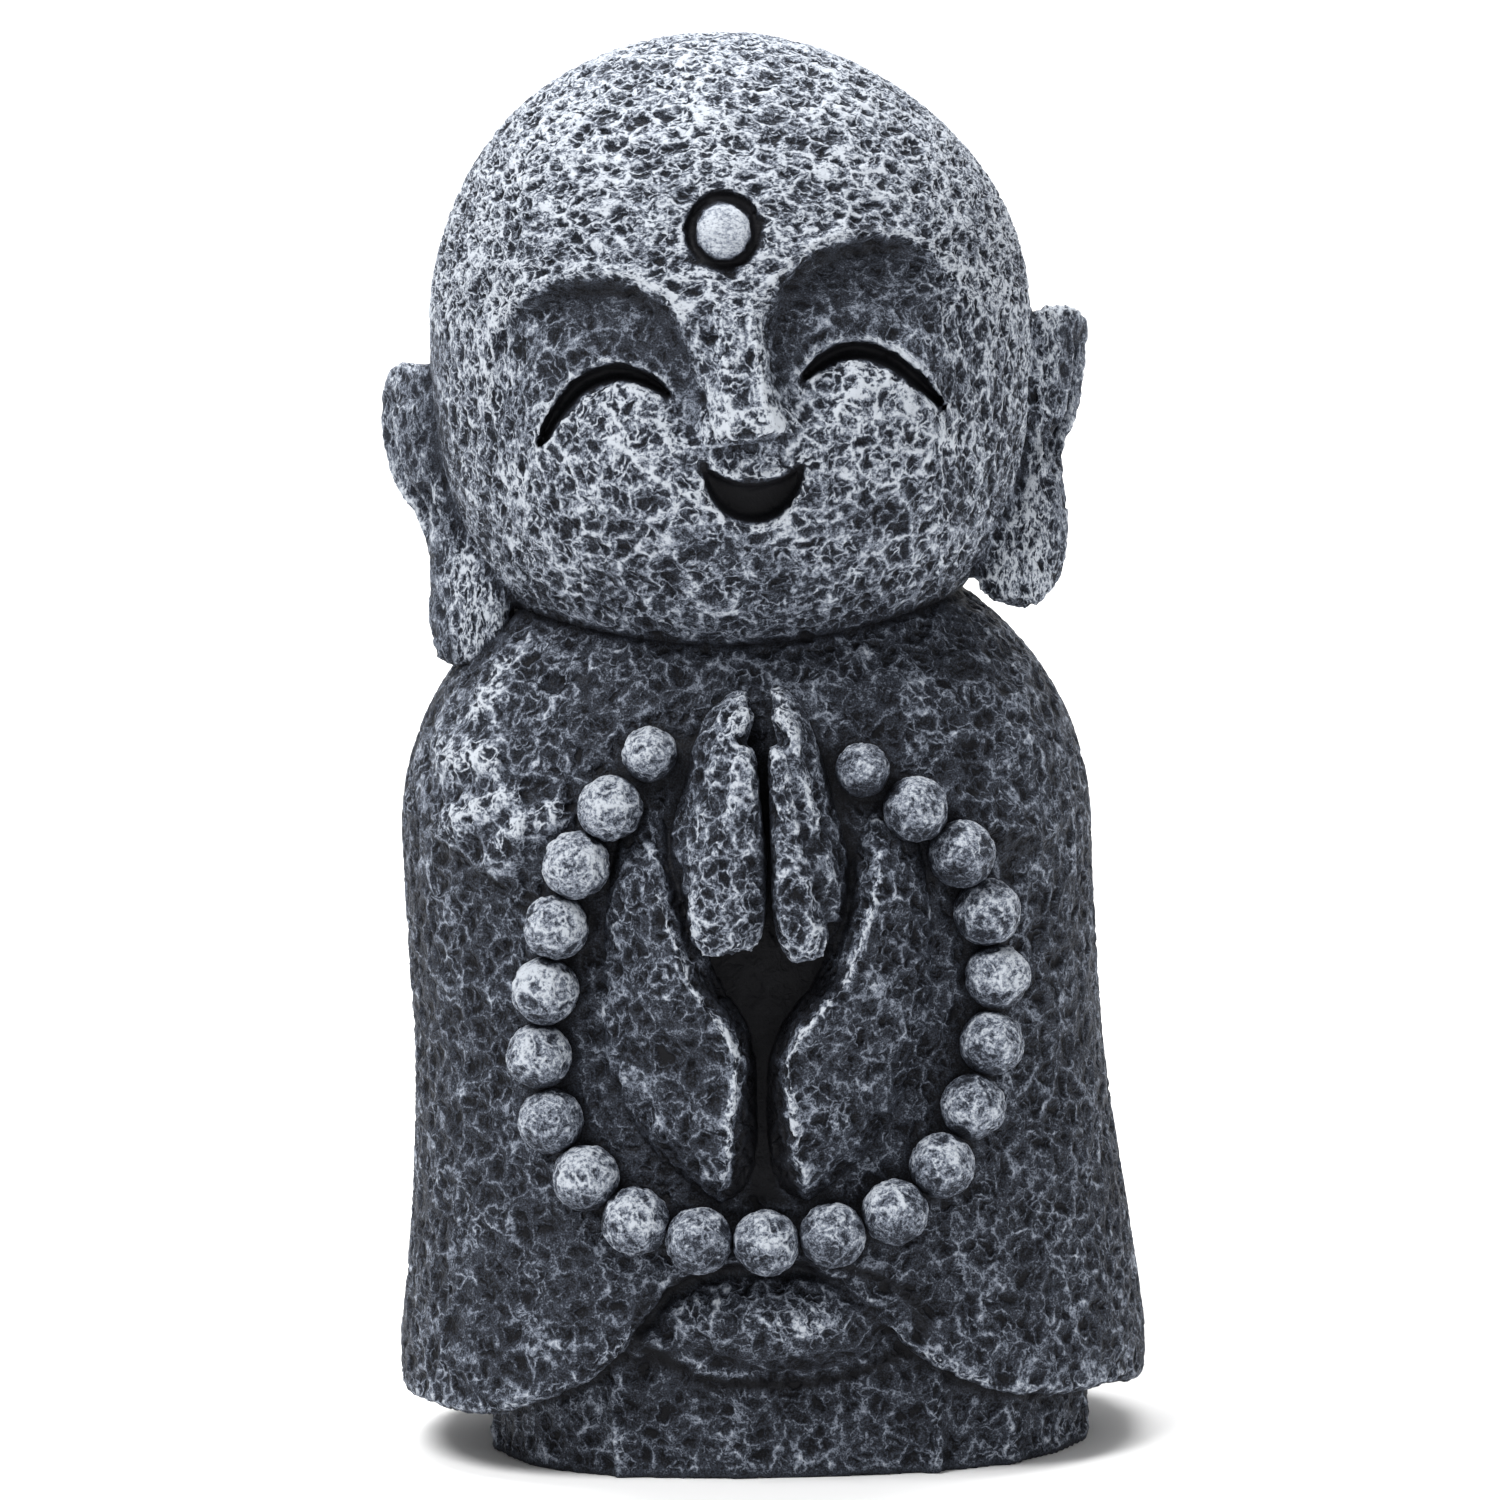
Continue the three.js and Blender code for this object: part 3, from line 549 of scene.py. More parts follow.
# The ridges of the skirt: how far round from the front, how wide and how high, in degrees and millimetres.
SKIRT_RIDGES = ((-38, 2.0, 0.9), (-12, 3.0, 0.4), (32, 1.6, 1.3), (49, 2.5, 0.8), (75, 3.0, 0.6), (-78, 3.0, 0.6))
FLAP = dict(x=0.9, y=-20.4, z=16.6, half_width=13.8, half_depth=8.2, half_height=6.2)
UNDER_FLAPS = (
    dict(x=-13.4, y=-19.4, z=14.6, half_width=5.0, half_depth=5.4, half_height=2.6),
    dict(x=-5.2, y=-20.2, z=12.2, half_width=6.0, half_depth=5.6, half_height=4.0),
)


def robe_middle(z):
    return mix(0.2, -1.5, smoothstep(15, 70, z))


def robe_size(z, sizes):
    half_width, half_depth, flare = millimetres(sizes, "half_width", "half_depth", "flare")
    out = flare * np.clip((FLARE_BELOW - z) / (FLARE_BELOW - 12), 0, 1) ** 1.35
    shoulder = np.sqrt(np.maximum(0.02, 1 - (np.maximum(0, z - SHOULDER_Z) / SHOULDER_RISE) ** 2))
    return (half_width + out) * shoulder, (half_depth + out * 0.7) * shoulder


def robe_front(x, z, sizes):
    """The robe's front surface at (x, z)."""
    w, d = robe_size(z, sizes)
    across = np.minimum(0.98, np.abs(x - robe_middle(z)) / w)
    return ROBE_Y - d * (1 - across**ROBE_CORNER) ** (1 / ROBE_CORNER)


def hem_height(x, y, sizes):
    (hem,) = millimetres(sizes, "hem")
    return mix(hem, np.interp(x, HEM_ACROSS, HEM_HEIGHT), smoothstep(4, 14, -y))


def fold_height(x, z, fold):
    """A fold along its crest: steep on the side over it, and falling slowly under it."""
    line = curve_through([(a, 0, b) for a, b in fold["line"]], 50)
    along = np.gradient(line, axis=0)
    best = np.full(np.broadcast_shapes(x.shape, z.shape), 1e9)
    over = np.zeros_like(best)
    share = np.zeros_like(best)
    for i, (centre, ahead) in enumerate(zip(line, along)):
        dx, dz = x - centre[0], z - centre[2]
        apart = dx**2 + dz**2
        closer = apart < best
        best = np.where(closer, apart, best)
        over = np.where(closer, np.sign(dz * ahead[0] - dx * ahead[2]), over)
        share = np.where(closer, i / (len(line) - 1), share)
    apart = np.sqrt(best)
    taper = np.clip(4 * share * (1 - share), 0, 1) ** 0.4
    return taper * np.where(over > 0, bell(apart / fold["over"]), bell(apart / fold["under"]) ** 0.8)


def robe_folds(x, y, z):
    """Folds of the robe, in millimetres out from the plain column."""
    front = smoothstep(2, 12, -y)
    across = x - robe_middle(z)
    out = sum(fold["high"] * fold_height(x, z, fold) for fold in FOLDS) - 0.35
    for pit_x, pit_z in PITS:
        away = np.hypot(x - pit_x, z - pit_z)
        out = out - 0.9 * smoothstep(1.2, 0.7, away) + 0.25 * bell((away - 1.35) / 0.35)
    hanging = 0.7 * np.cos(across * 0.42 + 0.6 * np.sin(z * 0.07)) * smoothstep(58, 20, z)
    back = smoothstep(6, 16, y)
    return out * front + hanging * back * smoothstep(30, 22, np.abs(across))


def robe_field(block, sizes):
    x, y, z = block.x, block.y, block.z
    w, d = robe_size(z, sizes)
    across, deep = x - robe_middle(z), y - ROBE_Y
    reach = superellipse(across / w, deep / d, ROBE_CORNER)
    span = np.hypot(across, deep)
    side = span - span / np.maximum(reach, 1e-3) - robe_folds(x, y, z)
    hem = hem_height(x, y, sizes)
    lip = 0.5 * bell((z - hem - 0.9) / 0.8) * smoothstep(4, 14, -y)
    return common(common(side - lip, hem - z, HEM_CURL), z - ROBE_TOP, 1.0)


def skirt_field(x, y, z):
    across, deep = x - SKIRT["x"], y - SKIRT["y"]
    angle = np.degrees(np.arctan2(across, -deep))
    ridges = sum(high * bell((angle - round_) / wide) for round_, wide, high in SKIRT_RIDGES)
    reach = superellipse(across / SKIRT["half_width"], deep / SKIRT["half_depth"], SKIRT["corner"])
    span = np.hypot(across, deep)
    side = span - span / np.maximum(reach, 1e-3) - ridges
    return common(common(side, -z, 1.0), z - 34.0, 1.0)


def pebble(x, y, z, form):
    """The field of an ellipsoid."""
    a = (x - form["x"]) / form["half_width"]
    b = (y - form["y"]) / form["half_depth"]
    c = (z - form["z"]) / form["half_height"]
    reach = np.sqrt(a**2 + b**2 + c**2)
    return (reach - 1) * min(form["half_width"], form["half_depth"], form["half_height"])


def dress_field(block, sizes):
    """The robe with the skirt under it and the end of the inner robe in the parting."""
    field = robe_field(block, sizes)
    points = block.x, block.y, block.z
    field = join(field, skirt_field(*points), 0.6)
    for form in (FLAP, *UNDER_FLAPS):
        field = join(field, pebble(*points, form), 0.3)
    return np.maximum(field, -block.z).astype(np.float32)


# ------------------------------------------------------------------------------------------------------------
# Sleeves and hands
# ------------------------------------------------------------------------------------------------------------

# The outline of a hanging sleeve, as distances from the seam between the two: level, the inner edge, the crest
# of the cuff, and the outer edge.
SLEEVE_LEVELS = (29.5, 31, 34, 38, 43, 45, 47, 48.5, 50, 52, 54, 57, 61, 64, 67, 70, 74)
SLEEVE_INNER = (3.0, 1.5, 1.0, 0.9, 0.9, 1.0, 1.6, 2.3, 3.3, 4.9, 5.9, 6.9, 8.0, 8.8, 9.4, 9.8, 9.8)
SLEEVE_CUFF = (4.6, 4.6, 3.9, 3.4, 2.8, 2.6, 3.4, 4.3, 5.4, 7.2, 8.4, 9.5, 10.9, 11.7, 12.0, 12.0, 11.2)
SLEEVE_OUTER = (4.8, 7.4, 11.3, 14.4, 17.0, 17.5, 17.8, 18.0, 18.1, 18.1, 18.0, 17.8, 17.2, 16.8, 16.5, 15.9, 14.6)
SLEEVE_MIDDLE = 51.7
SLEEVE_HALF = 22.6
SUNK = 3.0
# The sleeves and hands are closed off inside the robe: at the back, below, above and at the sides.
BACK_OF_HANDS = -20.0
HANDS_BOTTOM = 27.0
HANDS_TOP = 86.0
HANDS_SIDE = 20.4

# Fingers of each hand, the foremost first: offsets from the seam, levels and half widths from tip to heel, and
# how far each lies behind the foremost.
FINGERS = {
    -1: (
        dict(line=[(2.4, 77.6, 1.7), (2.7, 71.6, 2.1), (3.8, 65, 3.5), (4.4, 60, 4.2), (4.1, 56.6, 4.0)], behind=0.0),
        dict(line=[(2.0, 81.3, 1.7), (3.9, 77.6, 1.9), (5.0, 73.6, 1.9), (6.6, 68, 2.1), (7.4, 61, 2.2)], behind=2.2),
        dict(line=[(1.9, 82.4, 1.6), (4.9, 78.6, 2.1), (6.3, 73, 2.2), (7.9, 67, 2.4), (7.4, 57.5, 2.6)], behind=4.4),
    ),
    1: (
        dict(line=[(1.3, 77.6, 1.2), (1.8, 71.6, 1.5), (2.5, 65, 2.1), (3.1, 60, 2.6), (4.2, 55.8, 2.9)], behind=0.0),
        dict(line=[(1.5, 81.5, 1.4), (2.9, 77.6, 1.6), (3.9, 72, 1.7), (5.3, 66, 2.0), (6.2, 59, 2.4)], behind=2.1),
        dict(line=[(1.3, 82.9, 1.3), (3.3, 79, 1.7), (4.9, 72, 2.0), (6.2, 65, 2.3), (6.3, 56.5, 2.7)], behind=4.2),
    ),
}
FINGER_CORNERS = (3.0, 2.3, 2.1)
FINGER_THICKNESS = 4.2


def seam(z):
    return mix(-0.5, 0.6, smoothstep(40, 58, z))


def sleeve_place(x, z):
    """Distances over a sleeve's inner edge and over its cuff, and the share of the way to its outer edge."""
    off = np.abs(x - seam(z))
    inner = np.interp(z, SLEEVE_LEVELS, SLEEVE_INNER)
    cuff = np.interp(z, SLEEVE_LEVELS, SLEEVE_CUFF)
    outer = np.interp(z, SLEEVE_LEVELS, SLEEVE_OUTER)
    ends = np.sqrt(np.clip(1 - np.abs((z - SLEEVE_MIDDLE) / SLEEVE_HALF) ** 4, 0, 1))
    return off - inner, off - cuff, (off - cuff) / np.maximum(outer - cuff, 0.8), ends


def sleeve_field(block, sizes, robe):
    """The two hanging sleeves, each steep along its inner edge, with the cuff's crest, and round at the outer one."""
    x, z = np.broadcast_arrays(block.x[:, 0, :], block.z[:, 0, :])
    (rise,) = millimetres(sizes, "sleeve_rise")
    from_edge, from_cuff, share, ends = sleeve_place(x, z)
    slope_width = from_edge - from_cuff
    wall = smoothstep(-0.8, 1, from_edge / np.maximum(slope_width, 0.5)) ** 0.8
    share = np.clip(share, 0, 1)
    fall = np.sqrt(np.clip(1 - share**2.4, 0, 1)) * (1 - 0.2 * share)
    crest = 0.6 * bell(from_cuff / 0.7)
    drape = 0.5 * np.sin(0.5 * z + 0.3 * from_cuff) * smoothstep(1, 4, from_cuff)
    low = smoothstep(73, 60, z)
    height = (SUNK + (rise + drape) * mix(0.15, 1, low)) * wall * fall * ends + crest * wall * ends * low
    front = robe_front(x, z, robe) + SUNK - height
    slope = np.hypot(*np.gradient(front, block.pitch))
    outline = front[:, None, :] - block.y
    outline = outline / np.sqrt(1 + np.minimum(slope, 6) ** 2)[:, None, :]
    return np.maximum(outline, block.y - BACK_OF_HANDS)


def add_finger(block, field, side, finger, front, corner):
    """A finger and the strip of the hand under it, from its tip down to the heel of the palm."""
    control = np.linspace(0, 1, len(finger["line"]))
    halves = [half for _, _, half in finger["line"]]
    middle = -front + FINGER_THICKNESS + finger["behind"]
    depths = np.interp(control, (0, 0.3, 0.7, 1), (2.0, 0.6, 0, 0.8)) + middle
    points = [(seam(z) + side * off, y, z) for (off, z, _), y in zip(finger["line"], depths)]
    line = curve_through(points, 44)
    blunt = lambda t: max(0.04, 1 - abs(2 * t - 1) ** 7) ** (1 / 4)
    wide = lambda t: np.interp(t, control, halves) * blunt(t)
    thick = lambda t: FINGER_THICKNESS * blunt(t)
    ahead = lambda t: np.array([0.0, -1.0, 0.0])
    form = lambda x, y, z: swept(x, y, z, line, wide, thick, ahead, corner)
    block.add(field, line.min(0) - 7, line.max(0) + 7, form, 0.12)


def hands_field(block, sizes, robe):
    field = sleeve_field(block, sizes, robe).astype(np.float32)
    (front,) = millimetres(sizes, "finger_front")
    for side, fingers in FINGERS.items():
        for finger, corner in reversed(list(zip(fingers, FINGER_CORNERS))):
            add_finger(block, field, side, finger, front, corner)
    ends = np.maximum(HANDS_BOTTOM - block.z, block.z - HANDS_TOP)
    return np.maximum(np.maximum(field, ends), np.maximum(np.abs(block.x) - HANDS_SIDE, block.y - BACK_OF_HANDS))


# ------------------------------------------------------------------------------------------------------------
# Node trees
# ------------------------------------------------------------------------------------------------------------


class Wire:
    """An output socket that adds its Math nodes when it is used in an expression."""

    def __init__(self, bench, socket):
        self.bench = bench
        self.socket = socket

    def _maths(self, operation, *values):
        return self.bench.node("ShaderNodeMath", {"operation": operation}, dict(enumerate(values)))

    def __add__(self, other):
        return self._maths("ADD", self, other)

    def __radd__(self, other):
        return self._maths("ADD", other, self)

    def __sub__(self, other):
        return self._maths("SUBTRACT", self, other)

    def __rsub__(self, other):
        return self._maths("SUBTRACT", other, self)

    def __mul__(self, other):
        return self._maths("MULTIPLY", self, other)

    def __rmul__(self, other):
        return self._maths("MULTIPLY", other, self)

    def highest(self, other):
        return self._maths("MAXIMUM", self, other)


class Bench:
    """Adds nodes to one tree."""

    def __init__(self, tree):
        self.tree = tree
        tree.nodes.clear()

    def node(self, kind, settings=None, values=None, output=0):
        """A new node with its settings made first and then its sockets' values or links, and one of its outputs."""
        node = self.tree.nodes.new(kind)
        for name, setting in (settings or {}).items():
            setattr(node, name, setting)
        for key, value in (values or {}).items():
            socket = node.inputs[key]
            if isinstance(value, Wire):
                self.tree.links.new(value.socket, socket)
            else:
                socket.default_value = value
        return Wire(self, node.outputs[output]) if node.outputs else None

    def ramp(self, value, low, high, start=0.0, end=1.0):
        """value taken smoothly from low..high to start..end."""
        sockets = {"Value": value, "From Min": low, "From Max": high, "To Min": start, "To Max": end}
        return self.node("ShaderNodeMapRange", {"interpolation_type": "SMOOTHSTEP"}, sockets, "Result")

    def vector(self, operation, a, b=None, factor=None):
        values = {0: a}
        if b is not None:
            values[1] = b
        if factor is not None:
            values["Scale"] = factor
        return self.node("ShaderNodeVectorMath", {"operation": operation}, values)

    def noise(self, place, scale, detail=2.0, roughness=0.5, output="Fac"):
        sockets = {"Vector": place, "Scale": scale, "Detail": detail, "Roughness": roughness}
        return self.node("ShaderNodeTexNoise", {}, sockets, output)

    def colour(self, share, a, b):
        """A mix of two colours."""
        made = self.node("ShaderNodeMix", {"data_type": "RGBA"}, {})
        node = made.socket.node
        for socket, value in zip((node.inputs[0], node.inputs[6], node.inputs[7]), (share, a, b)):
            if isinstance(value, Wire):
                self.tree.links.new(value.socket, socket)
            else:
                socket.default_value = (*value, 1.0) if socket.type == "RGBA" else value
        return Wire(self, node.outputs[2])


def stone_cells(bench, place, stone):
    """Two nets of ridges round the pits, 1 on a ridge's line and falling to 0 in a pit, large and small."""
    swayed = place
    for scale, reach in ((0.4, 2.6), (1.3, 1.1)):
        sway = bench.noise(place, scale / MM, 1.0, 0.5, "Color")
        sway = bench.vector("SUBTRACT", sway, (0.5, 0.5, 0.5))
        swayed = bench.vector("ADD", swayed, bench.vector("SCALE", sway, factor=reach * MM))
    broken = bench.noise(place, 0.55 / MM, 2.0, 0.6)
    nets = []
    for cell, breaks in ((stone.cell, broken), (stone.small_cell, 1.0 - broken)):
        sockets = {"Vector": swayed, "Scale": 1 / cell, "Randomness": 1.0}
        edge = bench.node("ShaderNodeTexVoronoi", {"feature": "DISTANCE_TO_EDGE"}, sockets, "Distance")
        nets.append(1.0 - 2.2 * edge + (breaks - 0.5) * 0.8)
    return nets


def pitted(name, stone):
    """The Geometry Nodes that press the stone's pits into a piece."""
    tree = bpy.data.node_groups.new(name, "GeometryNodeTree")
    tree.interface.new_socket("Geometry", in_out="INPUT", socket_type="NodeSocketGeometry")
    for title in ("Pit depth",):
        socket = tree.interface.new_socket(title, in_out="INPUT", socket_type="NodeSocketFloat")
        socket.subtype = "DISTANCE"
    tree.interface.new_socket("Material", in_out="INPUT", socket_type="NodeSocketMaterial")
    tree.interface.new_socket("Geometry", in_out="OUTPUT", socket_type="NodeSocketGeometry")
    bench = Bench(tree)
    shape = bench.node("NodeGroupInput")
    inputs = {s.name: Wire(bench, s) for s in shape.socket.node.outputs if s.name}
    place = bench.node("GeometryNodeInputNamedAttribute", {"data_type": "FLOAT_VECTOR"}, {"Name": "cast_place"})
    large, small = stone_cells(bench, place, stone)
    depth = bench.node("GeometryNodeInputNamedAttribute", {"data_type": "FLOAT"}, {"Name": "roughened"})
    height = bench.ramp(large, 0.35, 0.95) * 0.6 + bench.ramp(small, 0.3, 0.95) * 0.4
    press = (height - 1.0) * inputs["Pit depth"] * depth
    normal = bench.node("GeometryNodeInputNormal")
    moved = bench.node(
        "GeometryNodeSetPosition", {}, {"Geometry": inputs["Geometry"], "Offset": bench.vector("SCALE", normal, factor=press)}
    )
    whole = bench.node("GeometryNodeRealizeInstances", {}, {"Geometry": moved})
    painted = bench.node("GeometryNodeSetMaterial", {}, {"Geometry": whole, "Material": inputs["Material"]})
    bench.node("NodeGroupOutput", {}, {"Geometry": painted})
    return tree


def cast_stone(stone):
    """Dark pitted stone, pale where a dry brush touched what stands up, with painted shade that darkens it in hollows
    and on undersides.
    """
    material = bpy.data.materials.new("cast_stone")
    material.use_nodes = True
    bench = Bench(material.node_tree)
    place = bench.node("ShaderNodeAttribute", {"attribute_name": "cast_place"}, {}, "Vector")
    # The stored cover holds both how far the dry brush reaches and the painted shade in hollows, creases and
    # undersides.
    cover_and_shade = bench.node("ShaderNodeAttribute", {"attribute_name": "brushed"}, {}, "Fac")
    large, small = stone_cells(bench, place, stone)
    grain = bench.noise(place, 2.4 / MM, 3.0, 0.65)
    speck = bench.noise(place, 5.5 / MM, 1.0, 0.5)
    patches = bench.noise(place, 0.17 / MM, 3.0, 0.55)
    carved = bench.node("ShaderNodeAttribute", {"attribute_name": "roughened"}, {}, "Fac")
    stands = large.highest(small * 0.94) + (grain - 0.5) * (cover_and_shade * 1.1 + 0.35)
    stands = stands * carved + (grain * 0.5 + 0.45) * (1.0 - carved)
    limit = 1.08 - cover_and_shade * 0.52 - (patches - 0.5) * 0.5
    above = stands - limit
    # Painted shade: where the stored cover is low, in hollows, creases and on undersides, the blue-grey wash gives way
    # to the bare dark stone.
    wash_and_shade = bench.ramp(above + (speck - 0.5) * 1.3, -0.7, 0.1) * bench.ramp(cover_and_shade, -0.6, 0.0)
    film = bench.ramp(above + (speck - 0.5) * 0.4, -0.20, 0.08)
    paint = bench.ramp(above + (speck - 0.5) * 0.2, -0.02, 0.22)
    ground = bench.colour(wash_and_shade, tuple(stone.dark), tuple(stone.wash))
    brushed = bench.colour(film, ground, tuple(stone.thin))
    colour = bench.colour(paint, brushed, tuple(stone.pale))
    rough = bench.ramp(paint, 0.0, 1.0, 0.6, 0.85)
    height = bench.ramp(stands, 0.3, 0.95) * carved + grain * 0.25
    bump = bench.node("ShaderNodeBump", {}, {"Strength": 0.9, "Distance": 0.32 * MM, "Height": height})
    stone_shader = bench.node(
        "ShaderNodeBsdfPrincipled",
        {},
        {"Base Color": colour, "Roughness": rough, "Normal": bump, "Specular IOR Level": 0.12},
    )
    bench.node("ShaderNodeOutputMaterial", {}, {"Surface": stone_shader})
    return material


def plain_object(holder, name):
    """The evaluated holder as a plain mesh object, in the holder's place."""
    evaluated = holder.evaluated_get(bpy.context.evaluated_depsgraph_get())
    mesh = bpy.data.meshes.new_from_object(evaluated)
    holder.modifiers.clear()
    old = holder.data
    piece = bpy.data.objects.new(name + "_made", mesh)
    bpy.context.scene.collection.objects.link(piece)
    bpy.data.objects.remove(holder)
    if old.users == 0:
        bpy.data.batch_remove([old])
    piece.name = name
    mesh.name = name
    return piece


def set_input(modifier, title, value):
    """Sets a modifier's input by the identifier of the socket with this name."""
    for item in modifier.node_group.interface.items_tree:
        if item.item_type == "SOCKET" and item.in_out == "INPUT" and item.name == title:
            modifier[item.identifier] = value
            return
    raise ValueError(f"the node tree has no input {title}")


# ------------------------------------------------------------------------------------------------------------
# Beads
# ------------------------------------------------------------------------------------------------------------

# Places across and levels along the string, from the left hand down and up to the right hand.
STRING = [
    (-11.3, 76.7), (-18.9, 65.9), (-22.5, 53.3), (-22.9, 39.5), (-14.1, 28.3), (-0.1, 25.8),
    (13.5, 28.8), (21.5, 39.0), (24.3, 52.8), (20.5, 65.8), (10.6, 74.6),
]


def bead_line(beads, robe):
    """The string in space, on the front of the robe."""
    x, _, z = curve_through([(a, 0, b) for a, b in STRING], 400).T
    y = robe_front(x, np.maximum(z, 22), robe) - beads.radius / MM * beads.stands_out
    return np.stack([x, y, z], 1)


def bead_string():
    """The Geometry Nodes that set beads a bead apart along a line, with a smaller one at each end."""
    tree = bpy.data.node_groups.new("bead_string", "GeometryNodeTree")
    tree.interface.new_socket("Line", in_out="INPUT", socket_type="NodeSocketGeometry")
    tree.interface.new_socket("Beads", in_out="INPUT", socket_type="NodeSocketInt")
    for title in ("Radius", "End radius"):
        socket = tree.interface.new_socket(title, in_out="INPUT", socket_type="NodeSocketFloat")
        socket.subtype = "DISTANCE"
    tree.interface.new_socket("Material", in_out="INPUT", socket_type="NodeSocketMaterial")
    tree.interface.new_socket("Geometry", in_out="OUTPUT", socket_type="NodeSocketGeometry")
    bench = Bench(tree)
    first = bench.node("NodeGroupInput")
    inputs = {s.name: Wire(bench, s) for s in first.socket.node.outputs if s.name}
    places = bench.node("GeometryNodeCurveToPoints", {"mode": "COUNT"}, {"Curve": inputs["Line"], "Count": inputs["Beads"]})
    index = bench.node("GeometryNodeInputIndex")
    at_start = bench.node("FunctionNodeCompare", {"data_type": "INT", "operation": "EQUAL"}, {2: index, 3: 0})
    at_end = bench.node(
        "FunctionNodeCompare", {"data_type": "INT", "operation": "EQUAL"}, {2: index, 3: inputs["Beads"] - 1.0}
    )
    is_end = bench.node("FunctionNodeBooleanMath", {"operation": "OR"}, {0: at_start, 1: at_end})
    size = bench.node(
        "GeometryNodeSwitch", {"input_type": "FLOAT"}, {"Switch": is_end, "False": inputs["Radius"], "True": inputs["End radius"]}
    )
    uneven = bench.node("FunctionNodeRandomValue", {"data_type": "FLOAT"}, {2: 0.97, 3: 1.03, "Seed": 4}, 1)
    ball = bench.node("GeometryNodeMeshIcoSphere", {}, {"Radius": 1.0, "Subdivisions": 5})
    strung = bench.node(
        "GeometryNodeInstanceOnPoints", {}, {"Points": places, "Instance": ball, "Scale": size * uneven}
    )
    whole = bench.node("GeometryNodeRealizeInstances", {}, {"Geometry": strung})
    smooth = bench.node("GeometryNodeSetShadeSmooth", {}, {"Geometry": whole})
    painted = bench.node("GeometryNodeSetMaterial", {}, {"Geometry": smooth, "Material": inputs["Material"]})
    bench.node("NodeGroupOutput", {}, {"Geometry": painted})
    return tree


# ------------------------------------------------------------------------------------------------------------
# Wear: where the stone is rough, where a dry brush reaches, and where shade is painted
# ------------------------------------------------------------------------------------------------------------


def softened(values, reach):
    """The values averaged over about `reach` sample points on every side."""
    for _ in range(3):
        for axis in range(3):
            pad = [(reach + 1, reach) if k == axis else (0, 0) for k in range(3)]
            total = np.cumsum(np.pad(values, pad, mode="edge"), axis=axis, dtype=np.float32)
            ahead = [slice(None)] * 3
            behind = [slice(None)] * 3
            ahead[axis] = slice(2 * reach + 1, None)
            behind[axis] = slice(None, -(2 * reach + 1))
            values = (total[tuple(ahead)] - total[tuple(behind)]) / (2 * reach + 1)
    return values


def filled_block(scene, pitch):
    """The whole figure as 1 inside and 0 outside on a coarse block."""
    block = Block((-46, -40, -6), (46, 38, 156), pitch)
    field = np.minimum(head_field(block, scene.jizo_head), dress_field(block, scene.jizo_robe))
    field = np.minimum(field, hands_field(block, scene.jizo_hands, scene.jizo_robe))
    radius = scene.jizo_beads.radius / MM
    line = bead_line(scene.jizo_beads, scene.jizo_robe)
    apart = np.concatenate([[0], np.cumsum(np.linalg.norm(np.diff(line, axis=0), axis=1))])
    stops = np.linspace(0, apart[-1], scene.jizo_beads.count)
    for centre in np.stack([np.interp(stops, apart, line[:, k]) for k in range(3)], 1):
        form = lambda x, y, z: np.sqrt((x - centre[0]) ** 2 + (y - centre[1]) ** 2 + (z - centre[2]) ** 2) - radius
        block.add(field, centre - radius - 1, centre + radius + 1, form, 0.01)
    return block, np.clip(0.5 - field / pitch, 0, 1).astype(np.float32)


def sampled(block, values, points):
    """The block's values at points, in a straight line between its sample points."""
    spot = np.clip((points - block.low) / block.pitch, 0, np.array(block.shape) - 1.001)
    base = spot.astype(int)
    part = spot - base
    total = np.zeros(len(points))
    for i in (0, 1):
        for j in (0, 1):
            for k in (0, 1):
                weight = np.prod(np.where((i, j, k), part, 1 - part), axis=1)
                total += weight * values[base[:, 0] + i, base[:, 1] + j, base[:, 2] + k]
    return total


# How much of each piece the dry brush covers, before its hollows and edges, with their painted shade, count.
COVER = {"head": 0.40, "robe": -0.02, "sleeves_and_hands": 0.04, "prayer_beads": 0.48}


def head_marks(x, y, z, sizes):
    """Where the carving changes the head's paint and roughness: paint added, and the share of roughness left."""
    h, v = face_axes(x, z, sizes.lean)
    (groove,) = millimetres(sizes, "eye_groove")
    face = smoothstep(-16, -22, y)
    arch = brow_reach(h, v)
    t, over, half = eye_line(h, v, groove)
    upper, lower = eye_rims(t, over, half)
    eye = smoothstep(1.15, 0.7, np.abs(over) / half) * (half > 0.2)
    socket = smoothstep(1.02, 0.94, arch) * smoothstep(0.3, 1.4, over - half) * smoothstep(1.6, 0.9, np.abs(t))
    socket = socket * mix(1.0, 0.45, smoothstep(14, 22, np.abs(h)))
    outside, _, _ = mouth_line(h, v)
    mouth = smoothstep(0.15, -0.35, outside)
    away = np.hypot(h, v - URNA["v"])
    dome = smoothstep(URNA["radius"] + 0.1, URNA["radius"] - 0.3, away)
    ring = bell((away - URNA["ring"]) / 0.45)
    low_end = mix(-8.5, -4.0, smoothstep(6, 12, np.abs(h)))
    brow = bell((arch - 1.06) / 0.04) * smoothstep(low_end, low_end + 5, v) * smoothstep(25, 17, np.abs(h))
    paint = 0.22 * upper + 0.08 * lower + 0.12 * brow + 0.08 * bell((outside - 0.4) / 0.4) + 0.3 * dome
    paint = paint - 0.34 * socket - 1.2 * np.maximum(np.maximum(eye, mouth), ring)
    smooth = np.maximum.reduce([0.25 * socket, eye, mouth, ring, 0.85 * dome, 0.7 * upper, 0.35 * brow])
    ear = smoothstep(30.5, 33.5, np.abs(x)) * smoothstep(120, 118, z) * smoothstep(-20, -16, y)
    return paint * face - 0.12 * ear, 1 - smooth * face - 0.35 * ear


